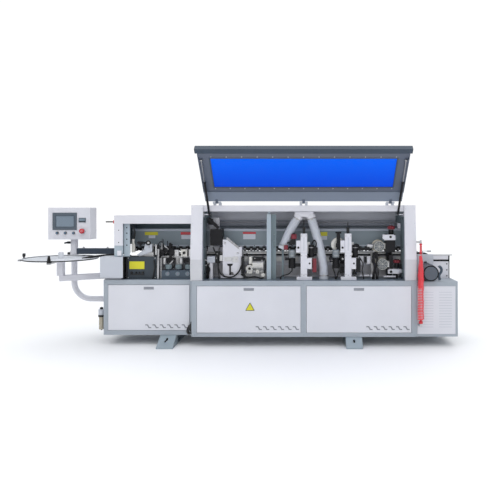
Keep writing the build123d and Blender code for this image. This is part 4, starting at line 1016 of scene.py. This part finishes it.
def fine_trim_details():
    """Both fine trimmers, and the red and black clamps on the first."""
    for number, x in enumerate(FINE_TRIM_X, 1):
        fine_trim_unit_details(str(number), x)
    reds = Shape().box((-192, -152), (84, 102), (938, 984)).rod((-171, 84, 960), (-171, 74, 960), 17)
    reds.box((-119, -67), (84, 112), (1044, 1092)).rod((-93, 84, 1068), (-93, 72, 1068), 19)
    reds.piece("fine_trim_red_clamps", "dark_red", edge=2.0)
    black = Shape().slab((-130, 106, 985), (-84, 106, 1060), 26, 34).box((-104, -78), (96, 130), (985, 1100))
    black.rod((-160, 106, 1004), (-112, 106, 1004), 9).box((100, 140), (98, 124), (900, 960))
    black.wire([(120, 110, 960), (128, 104, 1000), (112, 108, 1030), (92, 114, 1010), (84, 122, 985)], 6)
    black.piece("fine_trim_black_parts", "black_metal", edge=1.2)


def fine_trim_blocks():
    """Copying disc, motors, blocks, rods and cables beside the second fine trimmer."""
    disc = Shape().turned((346, 168, 986), [(0, 70), (12, 70), (18, 64), (18.5, 40), (14, 38)], 48)
    disc.piece("copying_disc", "bright")
    handle = Shape().box((330, 366), (110, 132), (930, 1096)).rod((318, 121, 1106), (378, 121, 1106), 9)
    handle.rod((348, 121, 1096), (348, 121, 1106), 10).box((322, 374), (104, 132), (960, 1000))
    handle.turned((527, 150, 958), [(0, 38), (18, 38), (26, 26), (27, 8)], 40)
    handle.box((556, 662), (140, 172), (930, 956)).box((470, 520), (120, 150), (860, 925))
    handle.outline([(486, 686), (538, 686), (514, 738)], (140, 168))
    handle.box((262, 352), (120, 166), (812, 872))
    handle.turned((392, 150, 846), [(0, 36), (20, 36), (28, 24), (29, 8)])
    handle.box((366, 416), (150, 172), (700, 810))
    handle.piece("fine_trim_black_blocks", "black_metal", edge=1.5)
    silver = Shape().box((270, 300), (110, 124), (830, 850)).rod((276, 130, 806), (330, 130, 800), 9)
    silver.turned((527, 123, 958), [(0, 10), (6, 10), (8, 5)])
    silver.box((470, 500), (112, 120), (880, 905))
    silver.turned((392, 121, 846), [(0, 10), (6, 10), (8, 5)])
    silver.piece("fine_trim_silver_parts", "alu")
    wires = Shape().wire([(300, 140, 812), (292, 112, 760), (312, 108, 700), (318, 120, 645)], 7)
    wires.wire([(372, 140, 812), (364, 112, 750), (342, 108, 700), (326, 120, 645)], 7)
    wires.wire([(560, 140, 860), (590, 112, 800), (584, 108, 730), (600, 120, 645)], 6)
    wires.piece("fine_trim_cables", "rubber", edge=0.1)


def buffing_fan_details(name, x, z, radius):
    """Spoked fan cover, a dark disc behind it as painted shade in the gap, and the cooling fins of one
    buffing motor.
    """
    face = Shape().ring((x, 130, z), radius + 1.5, radius - 5, 8)
    face.ring((x, 130, z), radius - 14, radius - 19, 6)
    face.ring((x, 130, z), radius - 28, radius - 33, 6)
    for inner, outer in zip(on_circle((x, z), 17, 8), on_circle((x, z), radius - 4, 8)):
        face.rod((inner[0], 128, inner[1]), (outer[0], 128, outer[1]), 2.4, sides=8)
    face.turned((x, 130, z), [(0, 13), (6, 13), (9, 8), (9.5, 2)])
    face.piece("buffing_fan_cover_" + name, "motor_silver", edge=0.5)
    # dark disc behind the spokes: painted shade
    dark = Shape().turned((x, 131, z), [(0, radius - 5), (2, radius - 5), (2.2, 4)], 40)
    dark.piece("buffing_fan_painted_shade_" + name, "slate", edge=0.1)
    fins = Shape()
    for k in range(6):
        fins.ring((x, 144 + 13 * k, z), radius + 3, radius - 2, 4, axis=Y_AXIS)
    fins.piece("buffing_motor_fins_" + name, "motor_silver", edge=0.4)


def buffing_details():
    """Fan covers, motor fins, knobs, clamps and cables of the buffing unit."""
    buffing_fan_details("upper", 756, 967, 50)
    buffing_fan_details("lower", 788, 791, 53)
    reds = Shape()
    for x, z in ((883, 1138), (940, 800)):
        for lobe_x, lobe_y in on_circle((x, 195), 25, 6):
            reds.rod((lobe_x, lobe_y, z), (lobe_x, lobe_y, z + 28), 12, sides=16)
        reds.turned((x, 195, z - 4), [(0, 20), (4, 27), (32, 27), (38, 18), (40, 6)], axis=Z_AXIS)
    reds.piece("buffing_red_knobs", "dark_red", edge=1.0)
    pale = Shape().box((790, 905), (134, 150), (1040, 1085)).box((845, 960), (150, 170), (694, 734))
    pale.box((556, 604), (190, 210), (780, 866)).box((640, 676), (180, 205), (790, 866))
    pale.box((560, 660), (150, 180), (668, 682)).box((800, 920), (140, 170), (660, 674))
    pale.rod((682, 130, 668), (682, 130, 690), 16)
    pale.piece("buffing_clamps", "white", edge=1.5)
    black = Shape()
    black.turned((868, 134, 1062), [(0, 12), (4, 12), (5, 8), (5.5, 2)])
    black.rod((875, 150, 714), (875, 144, 714), 13)
    black.box((612, 636), (186, 206), (800, 860)).box((960, 990), (180, 220), (740, 790))
    black.box((905, 945), (160, 200), (643, 694)).box((716, 746), (160, 200), (845, 905))
    black.wire([(700, 150, 900), (690, 118, 830), (706, 112, 760), (696, 112, 700), (690, 120, 645)], 11)
    black.wire([(742, 150, 850), (722, 118, 790), (712, 112, 730), (722, 112, 690), (728, 120, 645)], 9)
    black.wire([(960, 170, 760), (1000, 140, 740), (1010, 138, 700), (980, 150, 645)], 7)
    black.piece("buffing_black_parts", "black_metal", edge=1.0)


def drive_end():
    """Fan grille, rim, fins and cable of the feed motor, the outfeed switch and the outfeed plate bolts."""
    x, z = DRIVE_MOTOR_XZ
    grille = Shape().ring((x, -20, z), 62, 54, 3)
    for radius in (16, 28, 40):
        grille.ring((x, -20, z), radius + 5, radius, 3)
    grille.box((x - 56, x + 56), (-23, -20), (z - 3, z + 3)).box((x - 3, x + 3), (-23, -20), (z - 56, z + 56))
    grille.piece("drive_motor_grille", "dark_grey_and_guard_shade", edge=0.6)
    Shape().ring((x, -20, z), 76, 66, 2.5).piece("drive_motor_rim", "black_metal", edge=0.6)
    fins = Shape()
    for fin_x, fin_z in on_circle((x, z), 76, 28):
        if fin_z > 660:
            fins.slab((fin_x, 10, fin_z), (fin_x, 185, fin_z), 3, 12)
    fins.piece("drive_motor_fins", "motor", edge=0.4)
    hook = Shape()
    hook.wire([(1338, 60, 645), (1332, 56, 690), (1352, 54, 726), (1354, 54, 752), (1338, 54, 774),
               (1326, 56, 766)], 13, 14)
    hook.piece("motor_cable", "slate", edge=0.1)
    sensor = Shape()
    sensor.rod((1185, 262, 912), (1300, 262, 912), 3, sides=12).rod((1262, 262, 912), (1300, 262, 912), 9)
    sensor.rod((1214, 266, 876), (1214, 266, 912), 4, sides=12)
    sensor.piece("outfeed_switch", "steel", edge=0.4)
    bolts = Shape()
    bolts.bolts([(1462, 264, 720), (1462, 264, 660), (1462, 264, 782), (1340, 264, 660)], 7, 5)
    bolts.piece("outfeed_plate_bolts", "black_metal", edge=0.4)


def door_details(name, middle, front, vent_x):
    """Rim and bottom of the pull cup, and a grey sheet behind the vents as painted shade."""
    rim_y = (front - 3.2, front - 2)
    pull = Shape().box((middle - 45.5, middle + 45.5), (front + 1, front + 2), (551.5, 568.5))
    for z in ((569, 573.5), (546.5, 551)):
        pull.box((middle - 50, middle + 50), rim_y, z)
    for x in (middle - 50, middle + 46):
        pull.box((x, x + 4), rim_y, (551, 569))
    pull.piece("door_pull_" + name, "pull", "door_" + name)
    # grey sheet behind the vent slots: painted shade of the cabinet's inside
    vent_shade_sheet = Shape().box((vent_x - 445, vent_x - 8), (front + 0.8, front + 1.6), (162, 208))
    vent_shade_sheet.piece("vent_painted_shade_" + name, "vent", "door_" + name, 0.1)


def cabinet_details():
    """Louvre blades, door pulls with painted shade behind the vents, and the plain triangle plate."""
    blades = Shape()
    for column in (1140, 1320):
        for row in range(14):
            z = 190 + 26 * row
            blades.box((column - 4, column + 130), (13.5, 15), (z - 6, z + 11))
    blades.piece("louvre_blades", "cover", edge=0.4)
    for door in DOORS:
        door_details(*door)
    corners = [(-559, 356), (-475, 356), (-517, 430)]
    Shape().outline(corners, (-3.2, -1.8)).piece("triangle_plate", "yellow", "door_middle", 0.5)
    rim = Shape()
    for (x0, z0), (x1, z1) in zip(corners, corners[1:] + corners[:1]):
        rim.rod((x0, -2.6, z0), (x1, -2.6, z1), 2.6, sides=8)
    rim.piece("triangle_plate_rim", "black", "door_middle", 0.1)


def cable_gland():
    """Cable gland in the step between the left and main cabinets."""
    gland = Shape().rod((-1086, 50, 180), (-1112, 50, 180), 34).rod((-1112, 50, 180), (-1126, 50, 180), 24)
    gland.box((-1100, -1086), (20, 80), (120, 236))
    gland.wire([(-1122, 50, 180), (-1132, 50, 160), (-1130, 50, 130), (-1110, 52, 118)], 12)
    gland.piece("cabinet_cable_gland", "black", edge=1.5)


def rear_cover_details():
    """Rear covers with their screws and slots."""
    covers = Shape()
    screws = Shape()
    for x0, x1 in REAR_COVERS_X:
        covers.box((x0, x1), (640.2, 641.8), (160, 540))
        places = [(x, 641.8, z) for x in (x0 + 22, x1 - 22) for z in (180, 350, 520)]
        screws.studs(places, [(-1, 6), (2, 6), (3.5, 3)], axis=Y_AXIS)
        middle = (x0 + x1) / 2
        for k in range(8):
            screws.box((middle - 110, middle + 110), (641.6, 642.6), (212 + 18 * k, 217 + 18 * k))
    covers.piece("rear_covers", "frame", edge=0.6)
    screws.piece("rear_cover_screws", "slate", edge=0.3)


def air_filter_details():
    """Rings, caps and bowl ribs of the air filter."""
    caps = Shape().ring((*FILTER_XY, 262), 31, 23, 20, axis=Z_AXIS)
    caps.turned((*FILTER_XY, 338), [(0, 16), (16, 16), (20, 10)], axis=Z_AXIS)
    caps.turned((*FILTER_XY, 128), [(0, 7), (6, 9), (11, 18), (12, 20)], axis=Z_AXIS)
    caps.piece("filter_rings", "black", edge=0.6)
    cage = Shape()
    for x, y in on_circle(FILTER_XY, 24, 6):
        cage.rod((x, y, 144), (x, y, 262), 2.2, sides=8)
    cage.piece("filter_bowl_ribs", "bowl", edge=0.1)


def frame_fasteners():
    """Foot bolts, and screws at the corners of the cabinet frames."""
    for number, x in enumerate((-1330, 491), 1):
        bolt = Shape().rod((x, -30, 66), (x, -46, 62), 8, sides=6)
        bolt.piece("foot_bolt_" + str(number), "black_metal", edge=0.5)
    places = [(-1946, 83, 118), (-1946, 83, 616), (-1101, 83, 616)]
    places += [(x, 0, z) for x in (-1060, 3, 1078) for z in (118, 616)]
    Shape().studs(places, [(-1, 5), (1, 5), (2, 3)]).piece("frame_screws", "foot", edge=0.2)


# ---------------------------------------------------------------- camera, light and floor

def camera():
    """Level camera in front of the machine, shifted instead of turned."""
    data = bpy.data.cameras.new("camera")
    data.lens = 38.6
    data.sensor_width = 36
    data.shift_x = -0.1066
    data.shift_y = -0.081
    data.clip_end = 60
    eye = bpy.data.objects.new("camera", data)
    eye.location = at(0, -CAMERA_DISTANCE, CAMERA_HEIGHT)
    eye.rotation_euler = (math.radians(90), 0, 0)
    bpy.context.collection.objects.link(eye)
    bpy.context.scene.camera = eye


def area_light(name, place, target, size, power, colour=(1, 1, 1)):
    data = bpy.data.lights.new(name, "AREA")
    data.shape = "RECTANGLE"
    data.size, data.size_y = size
    data.energy = power
    data.color = colour
    lamp = bpy.data.objects.new(name, data)
    lamp.location = place
    lamp.rotation_euler = (Vector(target) - Vector(place)).to_track_quat("-Z", "Y").to_euler()
    bpy.context.collection.objects.link(lamp)


def lights():
    """Soft boxes in front, above and behind, and a surround that is bright overhead and dim low down."""
    area_light("key", (-2.5, -5.0, 4.2), (0, 0, 0.8), (4.5, 3.0), 20)
    area_light("fill", (3.5, -5.0, 2.6), (0, 0, 0.8), (4.0, 3.0), 12)
    area_light("front", (0.2, -6.2, 2.2), (0, 0, 1.0), (5.0, 1.6), 40)
    area_light("back", (0, 5.5, 3.5), (0, 0, 0.9), (6.0, 3.0), 9)
    world = bpy.data.worlds.new("surround")
    world.use_nodes = True
    nodes, links = world.node_tree.nodes, world.node_tree.links
    direction = nodes.new("ShaderNodeTexCoord")
    split = nodes.new("ShaderNodeSeparateXYZ")
    links.new(direction.outputs["Generated"], split.inputs["Vector"])
    strength = map_range(nodes, links, split.outputs["Z"], from_min=0.15, from_max=0.75, to_min=0.02,
                         to_max=1.7)
    nodes["Background"].inputs["Color"].default_value = (0.96, 0.98, 1.0, 1)
    links.new(strength, nodes["Background"].inputs["Strength"])
    white = nodes.new("ShaderNodeBackground")
    white.inputs["Color"].default_value = (1, 1, 1, 1)
    white.inputs["Strength"].default_value = 1.05
    rays = nodes.new("ShaderNodeLightPath")
    mix = nodes.new("ShaderNodeMixShader")
    links.new(rays.outputs["Is Camera Ray"], mix.inputs["Fac"])
    links.new(nodes["Background"].outputs["Background"], mix.inputs[1])
    links.new(white.outputs["Background"], mix.inputs[2])
    links.new(mix.outputs["Shader"], nodes["World Output"].inputs["Surface"])
    bpy.context.scene.world = world
    bpy.context.scene.view_settings.view_transform = "Standard"


def floor():
    """Plain pale floor."""
    mesh = bpy.data.meshes.new("floor")
    reach = 30
    corners = [(-reach, -reach, 0), (reach, -reach, 0), (reach, reach, 0), (-reach, reach, 0)]
    mesh.from_pydata(corners, [], [(0, 1, 2, 3)])
    piece = bpy.data.objects.new("floor", mesh)
    finish = powder_coat("floor_finish", (240, 240, 241), rough=0.6, grain=40, strength=0.02, soil=0.0)
    piece.data.materials.append(finish)
    bpy.context.collection.objects.link(piece)


camera()
lights()
floor()
corrugated_hose("dust_hose_left_ribbed", "dust_hose_left", DUST_LEFT)
corrugated_hose("dust_hose_right_ribbed", "dust_hose_right", DUST_RIGHT)
air_hose_coil()
dress_nodes()
paint_nodes()
lid_details()
hood_lining()
cheek_details()
conveyor_details()
glue_cover_details()
glue_section_details()
regulator_details()
tape_feed()
control_box_details()
end_trim_details()
trimmer_cables()
rough_trim_details()
fine_trim_details()
fine_trim_blocks()
buffing_details()
drive_end()
cabinet_details()
cable_gland()
rear_cover_details()
air_filter_details()
frame_fasteners()
